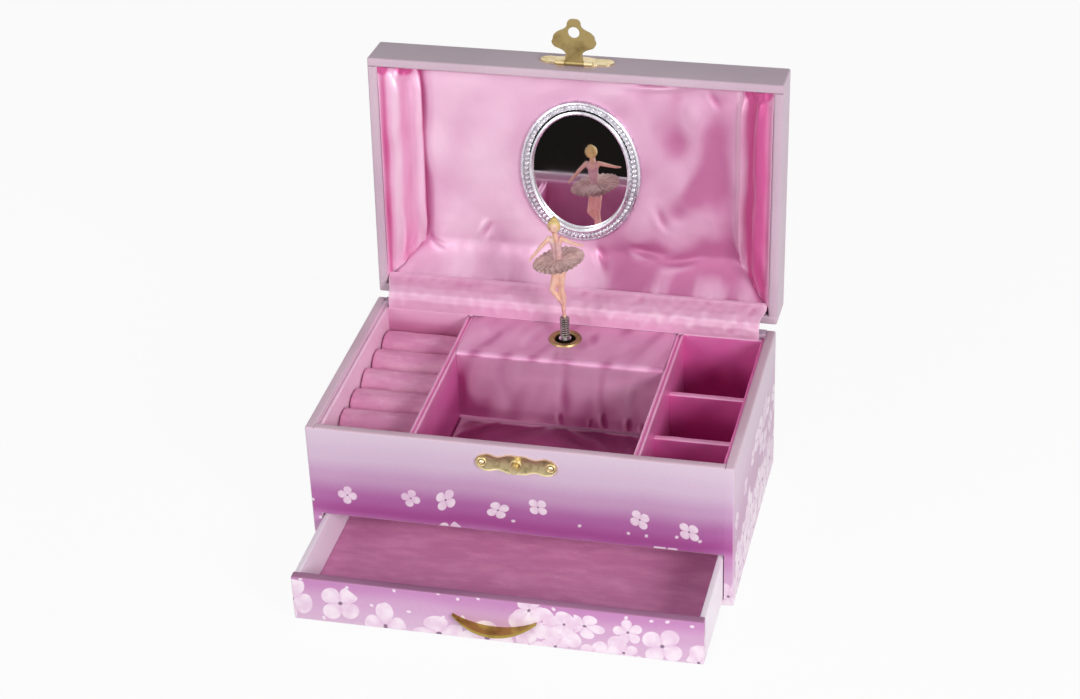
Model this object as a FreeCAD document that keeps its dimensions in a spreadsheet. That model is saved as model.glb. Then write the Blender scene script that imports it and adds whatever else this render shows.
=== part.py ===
import FreeCAD, Part
import math
import os
import Sketcher

doc = FreeCAD.newDocument("BallerinaBox")

# Driving dimensions, in millimetres, degrees and counts
sizes = {
    "case_width": 180,
    "case_depth": 111,
    "case_height": 68.3,
    "wall": 4,
    "base_thickness": 3,
    "drawer_bay": 22.2,
    "deck_thickness": 3,
    "floor_pad": 4.8,
    "lining": 1.6,
    "lining_drop": 2.3,
    "divider": 3,
    "left_bay": 37,
    "right_bay": 34.3,
    "divider_drop": 2.8,
    "cross_drop": 12.8,
    "cross_spacing": 35,
    "roll_count": 6,
    "roll_gap": 0.5,
    "roll_drop": 10.3,
    "platform_drop": 2.8,
    "platform_thickness": 2.5,
    "platform_depth": 33,
    "spindle_setback": 14.5,
    "eyelet_outer": 7.4,
    "eyelet_barrel": 5.5,
    "eyelet_bore": 4.6,
    "eyelet_flange": 0.9,
    "eyelet_fit": 0.1,
    "lid_height": 20.7,
    "lid_open": 93.5,
    "lid_seam": 0.3,
    "lid_panel": 2.5,
    "lid_pad": 2,
    "lid_band": 14,
    "lid_band_drop": 1.8,
    "lid_band_crown": 1.6,
    "hinge_setback": 1.5,
    "hinge_spread": 110,
    "hinge_width": 22,
    "knuckle_radius": 1.3,
    "knuckle_gap": 0.3,
    "hinge_pin": 0.7,
    "running_fit": 0.05,
    "leaf_thickness": 0.8,
    "leaf_height": 12,
    "cloth": 0.8,
    "mirror_width": 54,
    "mirror_height": 66,
    "mirror_rim": 6,
    "mirror_lip": 2.5,
    "mirror_frame": 2.8,
    "mirror_setback": 58.8,
    "glass": 1.2,
    "glass_fit": 0.2,
    "plate": 0.8,
    "hasp_plate_width": 32.6,
    "hasp_plate_height": 9,
    "hasp_pin_rise": 5.2,
    "hasp_pin_reach": 1.7,
    "hasp_pin": 0.55,
    "hasp_knuckle": 1.2,
    "hasp_knuckle_width": 3.7,
    "flap": 0.9,
    "flap_neck": 8,
    "flap_width": 19.6,
    "flap_shoulder": 10,
    "flap_length": 19.5,
    "flap_tab": 5,
    "flap_eye": 13.7,
    "flap_hole": 2.6,
    "catch_width": 35,
    "catch_height": 9,
    "stud_radius": 1.3,
    "stud_length": 3.4,
    "stud_head": 1.8,
    "nail_radius": 0.5,
    "nail_head": 1.1,
    "nail_inset": 3,
    "drawer_gap": 0.5,
    "drawer_depth": 100,
    "drawer_face": 4,
    "drawer_side": 2.5,
    "drawer_side_height": 20.2,
    "drawer_floor": 2,
    "drawer_felt": 1,
    "drawer_out": 45,
    "pull_width": 35,
    "pull_sag": 4.5,
    "pull_reach": 6,
    "pull_thickness": 1.4,
    "pull_rise": 12,
    "barrel_length": 9,
    "arbor_radius": 1.5,
    "crown_teeth": 20,
    "crown_face": 3,
    "crown_disc": 1.8,
    "crown_tooth": 1.8,
    "pinion_teeth": 10,
    "mesh_depth": 0.8,
    "movement_plate": 2,
    "spindle_radius": 1.4,
    "spindle_cap": 2.7,
    "spindle_cap_height": 1.2,
    "cylinder_pin": 0.3,
    "cylinder_pin_rise": 0.4,
    "cylinder_arbor": 1,
    "bracket": 1.2,
    "axial_gap": 0.5,
    "comb_thickness": 0.8,
    "comb_gap": 0.7,
    "comb_teeth": 18,
    "comb_slot": 0.35,
    "comb_block": 5,
    "wheel_teeth": 32,
    "fan_teeth": 8,
    "fan_arbor": 0.7,
    "fan_blade": 0.5,
    "fan_width": 3,
    "fan_clearance": 4.4,
    "screw_radius": 1,
    "screw_head": 1.9,
    "key_hub": 3,
    "key_hub_length": 7,
    "key_span": 24,
    "key_depth": 9,
    "key_thickness": 2,
    "key_gap": 0.8,
    "stop_radius": 0.7,
    "stop_travel": 2.5,
    "stop_fit": 0.25,
    "stop_foot": 0.8,
    "stop_inset": 4,
    "coil_radius": 1.85,
    "coil_wire": 0.65,
    "coil_pitch": 1.1,
    "coil_turns": 7,
    "figure_height": 51,
    "figure_peg": 1.2,
    "figure_seat": 9.2,
    "tutu_radius": 12.5,
    "tutu_waist": 3.1,
    "tutu_rise": 26.2,
    "tutu_droop": 1.5,
    "tutu_thickness": 1.6,
    "tutu_tilt": 8,
    "tutu_ruffles": 14,
}
# The music movement fills the room between the deck, the lowered stop and the right divider
movement_sizes = {
    "movement_room": (
        "=case_height - platform_drop - platform_thickness - stop_fit - stop_foot - stop_travel"
        " - base_thickness - drawer_bay - deck_thickness"
    ),
    "gear_module": "=movement_room * 0.0352",
    "crown_radius": "=gear_module * crown_teeth / 2",
    "pinion_root": "=gear_module * (pinion_teeth / 2 - 1)",
    "pinion_tip": "=gear_module * (pinion_teeth / 2 + 0.82)",
    "tooth_width": "=gear_module * 0.91",
    "barrel_radius": "=gear_module * 7.25",
    "barrel_rise": "=crown_radius + crown_face / 2 + movement_room * 0.1056",
    "fine_module": "=movement_room * 0.01632",
    "wheel_root": "=fine_module * (wheel_teeth / 2 - 1.88)",
    "wheel_tip": "=fine_module * (wheel_teeth / 2 + 0.47)",
    "fan_root": "=fine_module * (fan_teeth / 2 - 1.45)",
    "fan_tip": "=fine_module * (fan_teeth / 2 + 0.9)",
    "fine_tooth": "=fine_module * 0.88",
    "fan_distance": "=fine_module * (wheel_teeth + fan_teeth) / 2",
    "fan_radius": "=fine_module * 9",
    "cylinder_radius": "=gear_module * 5.9",
    "cylinder_length": (
        "=case_width / 2 - wall - lining - right_bay - divider - fan_clearance - crown_radius"
        " - crown_face / 2 - 2 * bracket - crown_disc - fan_width - 6 * axial_gap"
    ),
}
sheet = doc.addObject("Spreadsheet::Sheet", "Sizes")
for row, (name, value) in enumerate({**sizes, **movement_sizes}.items(), start=1):
    sheet.set(f"A{row}", name)
    sheet.set(f"B{row}", str(value))
    sheet.setAlias(f"B{row}", name)
doc.recompute()

# Places that several pieces share, written once as expressions
half_width = "(Sizes.case_width / 2)"
half_depth = "(Sizes.case_depth / 2)"
inner_width = "(Sizes.case_width - 2 * Sizes.wall)"
inner_depth = "(Sizes.case_depth - 2 * Sizes.wall)"
inside_x = "(Sizes.case_width / 2 - Sizes.wall)"
inside_y = "(Sizes.case_depth / 2 - Sizes.wall)"
lined_x = f"({inside_x} - Sizes.lining)"
lined_y = f"({inside_y} - Sizes.lining)"
bay_top = "(Sizes.base_thickness + Sizes.drawer_bay)"
deck_top = f"({bay_top} + Sizes.deck_thickness)"
floor_top = f"({deck_top} + Sizes.floor_pad)"
lining_top = "(Sizes.case_height - Sizes.lining_drop)"
divider_top = "(Sizes.case_height - Sizes.divider_drop)"
left_edge = f"({lined_x} - Sizes.left_bay)"
right_edge = f"({lined_x} - Sizes.right_bay)"
centre_left = f"(Sizes.divider - {left_edge})"
centre_right = f"({right_edge} - Sizes.divider)"
platform_top = "(Sizes.case_height - Sizes.platform_drop)"
platform_under = f"({platform_top} - Sizes.platform_thickness)"
platform_front = f"({inside_y} - Sizes.platform_depth)"
spindle_y = f"({inside_y} - Sizes.spindle_setback)"
hinge_y = f"({half_depth} + Sizes.hinge_setback)"
hinge_z = "(Sizes.case_height + Sizes.lid_seam / 2)"
barrel_z = f"({deck_top} + Sizes.barrel_rise)"


def number(text):
    return sheet.evalExpression(str(text))


def bind(thing, **bindings):
    for path, text in bindings.items():
        thing.setExpression(path, str(text))
    return thing


def place(thing, x, y, z, rotation=FreeCAD.Rotation()):
    thing.Placement = FreeCAD.Placement(FreeCAD.Vector(), rotation)
    for axis, text in zip("xyz", (x, y, z)):
        thing.setExpression(f"Placement.Base.{axis}", str(text))
    return thing


along_x = FreeCAD.Rotation(FreeCAD.Vector(0, 1, 0), 90)
along_y = FreeCAD.Rotation(FreeCAD.Vector(1, 0, 0), -90)
toward_front = FreeCAD.Rotation(FreeCAD.Vector(1, 0, 0), 90)


# A point given from the hinge axis with the lid shut, carried to the open lid
def on_lid(thing, x, v, w):
    turn = FreeCAD.Rotation(FreeCAD.Vector(-1, 0, 0), number("Sizes.lid_open"))
    back = f"{hinge_y} + ({v}) * cos(Sizes.lid_open) + ({w}) * sin(Sizes.lid_open)"
    up = f"{hinge_z} - ({v}) * sin(Sizes.lid_open) + ({w}) * cos(Sizes.lid_open)"
    place(thing, x, back, up, turn)
    thing.setExpression("Placement.Rotation.Angle", "Sizes.lid_open")
    return thing


pieces = []


def piece(label, thing):
    thing.Label = label
    pieces.append(thing)
    return thing


def box(size, corner=("0", "0", "0")):
    made = doc.addObject("Part::Box", "Block")
    bind(made, Length=size[0], Width=size[1], Height=size[2])
    return place(made, *corner)


def rod(radius, length, start, rotation=FreeCAD.Rotation()):
    made = doc.addObject("Part::Cylinder", "Rod")
    bind(made, Radius=radius, Height=length)
    return place(made, *start, rotation)


def fuse(*things):
    made = doc.addObject("Part::MultiFuse", "Joined")
    made.Shapes = list(things)
    return made


def group(*things):
    made = doc.addObject("Part::Compound", "Group")
    made.Links = list(things)
    return made


def cut(base, *tools):
    made = doc.addObject("Part::Cut", "Cut")
    made.Base = base
    made.Tool = tools[0] if len(tools) == 1 else group(*tools)
    return made


def made_of(shape):
    made = doc.addObject("Part::Feature", "Form")
    made.Shape = shape
    return made


def new_body():
    return doc.addObject("PartDesign::Body", "Body")


def plane_of(body, role):
    return [part for part in body.Origin.OriginFeatures if part.Role == role][0]


def new_sketch(body, role):
    sketch = body.newObject("Sketcher::SketchObject", "Sketch")
    sketch.AttachmentSupport = (plane_of(body, role), [""])
    sketch.MapMode = "FlatFace"
    return sketch


# Straight-sided sketch whose corners are held by distances from the origin
def add_outline(sketch, corners):
    first = sketch.GeometryCount
    points = [FreeCAD.Vector(number(x), number(y), 0) for x, y in corners]
    for start, end in zip(points, points[1:] + points[:1]):
        sketch.addGeometry(Part.LineSegment(start, end), False)
    count = len(points)
    for step in range(count):
        after = first + (step + 1) % count
        sketch.addConstraint(Sketcher.Constraint("Coincident", first + step, 2, after, 1))
    for step, corner in enumerate(corners):
        for kind, text in zip(("DistanceX", "DistanceY"), corner):
            held = Sketcher.Constraint(kind, -1, 1, first + step, 1, number(text))
            index = sketch.addConstraint(held)
            sketch.setExpression(f"Constraints[{index}]", str(text))
    return sketch


def add_circle(sketch, radius, x="0", y="0"):
    centre = FreeCAD.Vector(number(x), number(y), 0)
    made = sketch.addGeometry(Part.Circle(centre, FreeCAD.Vector(0, 0, 1), number(radius)), False)
    index = sketch.addConstraint(Sketcher.Constraint("Radius", made, number(radius)))
    sketch.setExpression(f"Constraints[{index}]", str(radius))
    for kind, text in (("DistanceX", x), ("DistanceY", y)):
        index = sketch.addConstraint(Sketcher.Constraint(kind, -1, 1, made, 3, number(text)))
        sketch.setExpression(f"Constraints[{index}]", str(text))
    return sketch


def pad(body, sketch, length, reverse=False, middle=False):
    made = body.newObject("PartDesign::Pad", "Pad")
    made.Profile = sketch
    made.Reversed = reverse
    made.Midplane = middle
    bind(made, Length=length)
    return made


def disc(body, radius, length, reverse=False):
    return pad(body, add_circle(new_sketch(body, "XY_Plane"), radius), length, reverse)


# One radial tooth on the body's own Z axis, repeated round it
def teeth(body, inner, outer, width, height, count):
    corners = [
        (inner, f"-{width} / 2"),
        (outer, f"-{width} / 2"),
        (outer, f"{width} / 2"),
        (inner, f"{width} / 2"),
    ]
    tooth = pad(body, add_outline(new_sketch(body, "XY_Plane"), corners), height)
    doc.recompute()
    ring = body.newObject("PartDesign::PolarPattern", "Teeth")
    ring.Originals = [tooth]
    ring.Axis = (plane_of(body, "Z_Axis"), [""])
    ring.Angle = 360
    bind(ring, Occurrences=count)
    body.Tip = ring
    return ring


# Carcass
side_height = "Sizes.case_height - Sizes.base_thickness"
panel_height = f"Sizes.case_height - {bay_top}"
key_hole = "(Sizes.arbor_radius + Sizes.key_gap)"
stop_x = f"({centre_right} - Sizes.stop_inset)"
stop_y = f"({half_depth} - Sizes.wall / 2)"
slot_half = "(Sizes.stop_radius + Sizes.stop_fit)"
slot_deep = "(Sizes.platform_drop + Sizes.platform_thickness + Sizes.stop_foot + 3 * Sizes.stop_travel)"

piece("base_board", box(
    ("Sizes.case_width", "Sizes.case_depth", "Sizes.base_thickness"),
    (f"-{half_width}", f"-{half_depth}", "0"),
))
for label, x in (("left_wall", f"-{half_width}"), ("right_wall", inside_x)):
    piece(label, box(
        ("Sizes.wall", "Sizes.case_depth", side_height),
        (x, f"-{half_depth}", "Sizes.base_thickness"),
    ))
back_panel = box(
    (inner_width, "Sizes.wall", side_height),
    (f"-{inside_x}", inside_y, "Sizes.base_thickness"),
)
back_bore = rod(key_hole, "2 * Sizes.wall", ("0", f"{inside_y} - Sizes.wall / 2", barrel_z), along_y)
stop_slot = box(
    (f"2 * {slot_half}", f"Sizes.wall / 2 + {slot_half} + Sizes.stop_fit", slot_deep),
    (
        f"{stop_x} - {slot_half}",
        f"{inside_y} - Sizes.stop_fit",
        f"Sizes.case_height - {slot_deep} + Sizes.stop_fit",
    ),
)
piece("back_wall", cut(back_panel, back_bore, stop_slot))
piece("front_panel", box(
    (inner_width, "Sizes.wall", panel_height),
    (f"-{inside_x}", f"-{half_depth}", bay_top),
))
piece("deck", box(
    (inner_width, inner_depth, "Sizes.deck_thickness"),
    (f"-{inside_x}", f"-{inside_y}", bay_top),
))

# Tray linings, floor pads and dividers
lining_height = f"{lining_top} - {deck_top}"
divider_height = f"{divider_top} - {deck_top}"
tray_depth = f"({inside_y} + {lined_y})"
piece("front_lining", box(
    (inner_width, "Sizes.lining", lining_height),
    (f"-{inside_x}", f"-{inside_y}", deck_top),
))
for label, x in (("left_lining", f"-{inside_x}"), ("right_lining", lined_x)):
    piece(label, box(("Sizes.lining", tray_depth, lining_height), (x, f"-{lined_y}", deck_top)))
piece("back_linings", group(
    box(("Sizes.left_bay", "Sizes.lining", lining_height), (f"-{lined_x}", lined_y, deck_top)),
    box(("Sizes.right_bay", "Sizes.lining", lining_height), (right_edge, lined_y, deck_top)),
))
for label, x in (("left_divider", f"-{left_edge}"), ("right_divider", centre_right)):
    piece(label, box(("Sizes.divider", tray_depth, divider_height), (x, f"-{lined_y}", deck_top)))
piece("centre_floor", box(
    (f"{centre_right} - {centre_left}", f"{platform_front} + {lined_y}", "Sizes.floor_pad"),
    (centre_left, f"-{lined_y}", deck_top),
))
piece("right_floor", box(
    ("Sizes.right_bay", f"2 * {lined_y}", "Sizes.floor_pad"),
    (right_edge, f"-{lined_y}", deck_top),
))
cross_height = f"Sizes.case_height - Sizes.cross_drop - {floor_top}"
cross_places = ("Sizes.cross_spacing / 2", "-Sizes.cross_spacing / 2")
piece("cross_dividers", group(*[
    box(
        ("Sizes.right_bay", "Sizes.divider", cross_height),
        (right_edge, f"{middle} - Sizes.divider / 2", floor_top),
    )
    for middle in cross_places
]))

# Foam ring rolls: flat-sided strips with a round crown and drawn-in ends
def ring_roll(index):
    pitch = (2 * number(lined_y) - number("Sizes.roll_gap")) / number("Sizes.roll_count")
    radius = (pitch - number("Sizes.roll_gap")) / 2
    gap = number("Sizes.roll_gap")
    long = number("Sizes.left_bay") - 2 * gap
    bottom = number(deck_top)
    crest = number("Sizes.case_height - Sizes.roll_drop")
    middle = number(lined_y) - gap - radius - index * pitch
    left = gap - number(lined_x)
    spring_line = crest - radius
    corner_a = FreeCAD.Vector(left, middle - radius, bottom)
    corner_b = FreeCAD.Vector(left, middle + radius, bottom)
    shoulder_a = FreeCAD.Vector(left, middle - radius, spring_line)
    shoulder_b = FreeCAD.Vector(left, middle + radius, spring_line)
    top = FreeCAD.Vector(left, middle, crest)
    lean = radius * math.sqrt(0.5)
    near = FreeCAD.Vector(left, middle - lean, spring_line + lean)
    far = FreeCAD.Vector(left, middle + lean, spring_line + lean)
    edges = [
        Part.LineSegment(corner_b, corner_a).toShape(),
        Part.LineSegment(corner_a, shoulder_a).toShape(),
        Part.Arc(shoulder_a, near, top).toShape(),
        Part.Arc(top, far, shoulder_b).toShape(),
        Part.LineSegment(shoulder_b, corner_b).toShape(),
    ]
    strip = Part.Face(Part.Wire(edges)).extrude(FreeCAD.Vector(long, 0, 0))
    crown = [
        edge for edge in strip.Edges
        if edge.BoundBox.XLength < gap and edge.BoundBox.ZMax > spring_line + gap
    ]
    return strip.makeFillet(radius / 3, crown)


piece("ring_rolls", made_of(Part.makeCompound([
    ring_roll(index) for index in range(int(number("Sizes.roll_count")))
])))

# Music platform with its eyelet
platform_wide = f"({centre_right} - {centre_left})"
platform_panel = box(
    (platform_wide, "Sizes.platform_depth", "Sizes.platform_thickness"),
    (centre_left, platform_front, platform_under),
)
eyelet_hole = rod(
    "Sizes.eyelet_barrel + Sizes.eyelet_fit",
    "2 * Sizes.platform_thickness",
    ("0", spindle_y, f"{platform_under} - Sizes.platform_thickness / 2"),
)
piece("platform_top", cut(platform_panel, eyelet_hole))
piece("platform_front", box(
    (platform_wide, "Sizes.platform_thickness", f"{platform_under} - {deck_top}"),
    (centre_left, platform_front, deck_top),
))
eyelet = new_body()
ring = add_outline(new_sketch(eyelet, "XZ_Plane"), [
    ("Sizes.eyelet_bore", "-Sizes.platform_thickness"),
    ("Sizes.eyelet_barrel", "-Sizes.platform_thickness"),
    ("Sizes.eyelet_barrel", "0"),
    ("Sizes.eyelet_outer", "0"),
    ("Sizes.eyelet_outer - Sizes.eyelet_flange / 2", "Sizes.eyelet_flange"),
    ("Sizes.eyelet_bore + Sizes.eyelet_flange / 2", "Sizes.eyelet_flange"),
    ("Sizes.eyelet_bore", "Sizes.eyelet_flange / 2"),
])
turned = eyelet.newObject("PartDesign::Revolution", "Turned")
turned.Profile = ring
turned.ReferenceAxis = (plane_of(eyelet, "Z_Axis"), [""])
turned.Angle = 360
piece("eyelet", place(eyelet, "0", spindle_y, platform_top))

# Catch on the case front, its stud and the pins that hold it
pin_z = f"({hinge_z} + Sizes.lid_seam / 2 + Sizes.hasp_pin_rise)"
stud_z = f"({pin_z} - Sizes.flap_eye)"
catch_x = "(Sizes.catch_width / 2 - Sizes.nail_inset)"
catch = new_body()
catch_face = new_sketch(catch, "XZ_Plane")
catch_half = "(Sizes.catch_width / 2)"
catch_rise = "(Sizes.catch_height / 2)"
add_outline(catch_face, [
    (f"-{catch_half}", "0"),
    (f"-{catch_x}", f"-{catch_rise} / 2"),
    (f"-{catch_x} / 3", f"-{catch_rise}"),
    (f"{catch_x} / 3", f"-{catch_rise}"),
    (catch_x, f"-{catch_rise} / 2"),
    (catch_half, "0"),
    (catch_x, f"{catch_rise} / 2"),
    (f"{catch_x} / 3", catch_rise),
    (f"-{catch_x} / 3", catch_rise),
    (f"-{catch_x}", f"{catch_rise} / 2"),
])
add_circle(catch_face, "Sizes.stud_radius")
for side in ("-", ""):
    add_circle(catch_face, "Sizes.nail_radius", f"{side}{catch_x}")
pad(catch, catch_face, "Sizes.plate")
piece("catch_plate", place(catch, "0", f"-{half_depth}", stud_z))
stud_tip = "Sizes.stud_length - Sizes.plate"
piece("catch_stud", fuse(
    rod("Sizes.stud_radius", "Sizes.stud_length", ("0", f"-{half_depth}", stud_z), toward_front),
    rod("Sizes.stud_head", "Sizes.plate", ("0", f"-{half_depth} - {stud_tip}", stud_z), toward_front),
))


# A nail through a thin plate, its head proud on the front or on the back
def nail(x, y, z, front):
    facing = toward_front if front else along_y
    shank = rod("Sizes.nail_radius", "Sizes.plate", (x, y, z), facing)
    head = doc.addObject("Part::Cone", "Head")
    bind(head, Radius1="Sizes.nail_head", Radius2="Sizes.nail_head / 2", Height="Sizes.plate / 2")
    reach = "-" if front else "+"
    place(head, x, f"{y} {reach} Sizes.plate", z, facing)
    return fuse(shank, head)


leaf_x = "(Sizes.hinge_spread / 2)"
nail_drop = "(Sizes.knuckle_radius + Sizes.leaf_height / 2)"
case_nails = [nail(f"{side}{catch_x}", f"-{half_depth}", stud_z, True) for side in ("-", "")]
for side in ("-", ""):
    for step in ("-", "+"):
        nail_x = f"{side}{leaf_x} {step} Sizes.hinge_width / 4"
        case_nails.append(nail(nail_x, half_depth, f"{hinge_z} - {nail_drop}", False))
piece("case_nails", group(*case_nails))

# Hinge leaves from the hinge axis, hanging down on the case or standing up on the lid
knuckle_third = "((Sizes.hinge_width - 2 * Sizes.knuckle_gap) / 3)"
knuckle_pitch = f"({knuckle_third} + Sizes.knuckle_gap)"


def hinge_leaf(centre, upward, slots):
    turn = "1" if upward else "-1"
    start = f"({centre} - Sizes.hinge_width / 2)"
    inner = "(Sizes.knuckle_radius + Sizes.knuckle_gap)"
    plate_low = inner if upward else f"-{inner} - Sizes.leaf_height"
    face = "-Sizes.hinge_setback"
    solids = [box(
        ("Sizes.hinge_width", "Sizes.leaf_thickness", "Sizes.leaf_height"),
        (start, face, plate_low),
    )]
    holes = []
    for slot in slots:
        left = f"{start} + {slot} * {knuckle_pitch}"
        solids.append(rod("Sizes.knuckle_radius", knuckle_third, (left, "0", "0"), along_x))
        web = f"{inner} + Sizes.leaf_thickness"
        web_low = "0" if upward else f"-({web})"
        solids.append(box((knuckle_third, "Sizes.leaf_thickness", web), (left, face, web_low)))
    bore = rod("Sizes.hinge_pin + Sizes.running_fit", "Sizes.hinge_width + 2 * Sizes.wall", (
        f"{start} - Sizes.wall", "0", "0"), along_x)
    leaf = cut(fuse(*solids), bore)
    nail_z = f"{turn} * {nail_drop}"
    for step in ("-", "+"):
        nail_x = f"{centre} {step} Sizes.hinge_width / 4"
        holes.append(rod("Sizes.nail_radius", "3 * Sizes.plate", (
            nail_x, f"{face} - Sizes.plate", nail_z), along_y))
    return cut(leaf, *holes)


both_sides = (f"-{leaf_x}", leaf_x)
case_leaves = group(*[hinge_leaf(centre, False, (0, 2)) for centre in both_sides])
piece("case_hinge_leaves", place(case_leaves, "0", hinge_y, hinge_z))
piece("hinge_pins", group(*[
    rod(
        "Sizes.hinge_pin", "Sizes.hinge_width",
        (f"{centre} - Sizes.hinge_width / 2", hinge_y, hinge_z), along_x,
    )
    for centre in both_sides
]))
lid_leaves = group(*[hinge_leaf(centre, True, (1,)) for centre in both_sides])
piece("lid_hinge_leaves", on_lid(lid_leaves, "0", "0", "0"))

# Lid shell, given from the hinge axis with the lid shut
lid_back = "(-Sizes.hinge_setback)"
lid_front = f"({lid_back} - Sizes.case_depth)"
lid_rim = "(Sizes.lid_seam / 2)"
lid_wall_height = "(Sizes.lid_height - Sizes.lid_seam - Sizes.lid_panel)"
panel_under = f"({lid_rim} + {lid_wall_height})"
pad_under = f"({panel_under} - Sizes.lid_pad)"
lid_inside = f"({lid_front} + Sizes.wall)"
piece("lid_top", on_lid(
    box(("Sizes.case_width", "Sizes.case_depth", "Sizes.lid_panel")),
    f"-{half_width}", lid_front, panel_under,
))
for label, v in (("lid_front_wall", lid_front), ("lid_back_wall", f"{lid_back} - Sizes.wall")):
    long_wall = box(("Sizes.case_width", "Sizes.wall", lid_wall_height))
    piece(label, on_lid(long_wall, f"-{half_width}", v, lid_rim))
for label, x in (("lid_left_wall", f"-{half_width}"), ("lid_right_wall", inside_x)):
    piece(label, on_lid(box(("Sizes.wall", inner_depth, lid_wall_height)), x, lid_inside, lid_rim))
piece("lid_lining", on_lid(
    box((inner_width, inner_depth, "Sizes.lid_pad")), f"-{inside_x}", lid_inside, pad_under,
))


# Padded satin band that swells between the lid wall and the ceiling
def lid_band(side):
    wall_x = side * number(inside_x)
    low = FreeCAD.Vector(wall_x, 0, number(f"{lid_rim} + Sizes.lid_band_drop"))
    corner = FreeCAD.Vector(wall_x, 0, number(pad_under))
    inner = FreeCAD.Vector(wall_x - side * number("Sizes.lid_band"), 0, corner.z)
    swell = (low + inner) * 0.5 - corner
    crown = corner + swell * (1 + number("Sizes.lid_band_crown") / swell.Length)
    edges = [
        Part.LineSegment(corner, low).toShape(),
        Part.Arc(low, crown, inner).toShape(),
        Part.LineSegment(inner, corner).toShape(),
    ]
    long = number(f"{inner_depth} - 3 * Sizes.cloth")
    band = made_of(Part.Face(Part.Wire(edges)).extrude(FreeCAD.Vector(0, -long, 0)))
    return on_lid(band, "0", f"{lid_back} - Sizes.wall - 3 * Sizes.cloth", "0")


piece("lid_band_left", lid_band(-1))
piece("lid_band_right", lid_band(1))


# Upright oval plate lying in the plane of the lid
def oval(width, height, thickness):
    ring = doc.addObject("Part::Ellipse", "Oval")
    bind(ring, MajorRadius=f"({height}) / 2", MinorRadius=f"({width}) / 2")
    ring.Placement.Rotation = FreeCAD.Rotation(FreeCAD.Vector(0, 0, 1), 90)
    made = doc.addObject("Part::Extrusion", "OvalPlate")
    made.Base = ring
    made.DirMode = "Custom"
    made.Dir = FreeCAD.Vector(0, 0, -1)
    made.Solid = True
    bind(made, LengthFwd=thickness)
    return made


mirror_v = f"({lid_back} - Sizes.mirror_setback)"
sight_width = "(Sizes.mirror_width - 2 * Sizes.mirror_rim)"
sight_height = "(Sizes.mirror_height - 2 * Sizes.mirror_rim)"
glass_width = f"({sight_width} + 2 * Sizes.mirror_lip)"
glass_height = f"({sight_height} + 2 * Sizes.mirror_lip)"
frame_ring = cut(
    oval("Sizes.mirror_width", "Sizes.mirror_height", "Sizes.mirror_frame"),
    oval(sight_width, sight_height, "2 * Sizes.mirror_frame"),
)
rebate = oval(
    f"{glass_width} + 2 * Sizes.glass_fit",
    f"{glass_height} + 2 * Sizes.glass_fit",
    "Sizes.glass + Sizes.glass_fit",
)
piece("mirror_frame", on_lid(cut(frame_ring, rebate), "0", mirror_v, pad_under))
piece("mirror_glass", on_lid(group(oval(glass_width, glass_height, "Sizes.glass")), "0", mirror_v, pad_under))

# Hasp: plate, pin and swinging flap
hasp_v = f"({lid_front} - Sizes.hasp_pin_reach)"
hasp_w = f"({lid_rim} + Sizes.hasp_pin_rise)"
hasp_bore = "(Sizes.hasp_pin + Sizes.running_fit)"
hasp_nail_x = "(Sizes.hasp_plate_width / 2 - Sizes.nail_inset)"
knuckle_edge = "(Sizes.flap_neck / 2 + Sizes.knuckle_gap)"
plate_foot = "(Sizes.hasp_knuckle + Sizes.knuckle_gap)"
hasp_body = new_body()
hasp_face = new_sketch(hasp_body, "XZ_Plane")
hasp_half = "(Sizes.hasp_plate_width / 2)"
hasp_top = f"({plate_foot} + Sizes.hasp_plate_height)"
hasp_mid = f"({plate_foot} + Sizes.hasp_plate_height / 2)"
add_outline(hasp_face, [
    (f"-{hasp_half}", hasp_mid),
    (f"-{hasp_nail_x}", f"{plate_foot} + Sizes.hasp_plate_height / 4"),
    (f"-{knuckle_edge} - Sizes.hasp_knuckle_width", plate_foot),
    (f"{knuckle_edge} + Sizes.hasp_knuckle_width", plate_foot),
    (hasp_nail_x, f"{plate_foot} + Sizes.hasp_plate_height / 4"),
    (hasp_half, hasp_mid),
    (hasp_nail_x, f"{plate_foot} + 3 * Sizes.hasp_plate_height / 4"),
    (f"{hasp_nail_x} / 3", hasp_top),
    (f"-{hasp_nail_x} / 3", hasp_top),
    (f"-{hasp_nail_x}", f"{plate_foot} + 3 * Sizes.hasp_plate_height / 4"),
])
for side in ("-", ""):
    add_circle(hasp_face, "Sizes.nail_radius", f"{side}{hasp_nail_x}", hasp_mid)
pad(hasp_body, hasp_face, "Sizes.plate")
place(hasp_body, "0", "Sizes.hasp_pin_reach", "0")
hasp_solids = [hasp_body]
for start in (f"-{knuckle_edge} - Sizes.hasp_knuckle_width", knuckle_edge):
    hasp_solids.append(rod("Sizes.hasp_knuckle", "Sizes.hasp_knuckle_width", (start, "0", "0"), along_x))
    hasp_solids.append(box(
        ("Sizes.hasp_knuckle_width", "Sizes.plate", f"{plate_foot} + Sizes.plate"),
        (start, "Sizes.hasp_pin_reach - Sizes.plate", "0"),
    ))
pin_span = f"(2 * ({knuckle_edge} + Sizes.hasp_knuckle_width))"
hasp_hole = rod(hasp_bore, f"2 * {pin_span}", (f"-{pin_span}", "0", "0"), along_x)
piece("hasp_plate", on_lid(cut(fuse(*hasp_solids), hasp_hole), "0", hasp_v, hasp_w))
pin_core = rod("Sizes.hasp_pin", pin_span, (f"-{pin_span} / 2", "0", "0"), along_x)
piece("hasp_pin", on_lid(group(pin_core), "0", hasp_v, hasp_w))
flap_body = new_body()
flap_face = new_sketch(flap_body, "XY_Plane")
neck_half = "(Sizes.flap_neck / 2)"
flap_half = "(Sizes.flap_width / 2)"
tab_half = "(Sizes.flap_tab / 2)"
taper_end = "(Sizes.flap_length - Sizes.flap_tab)"
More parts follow.
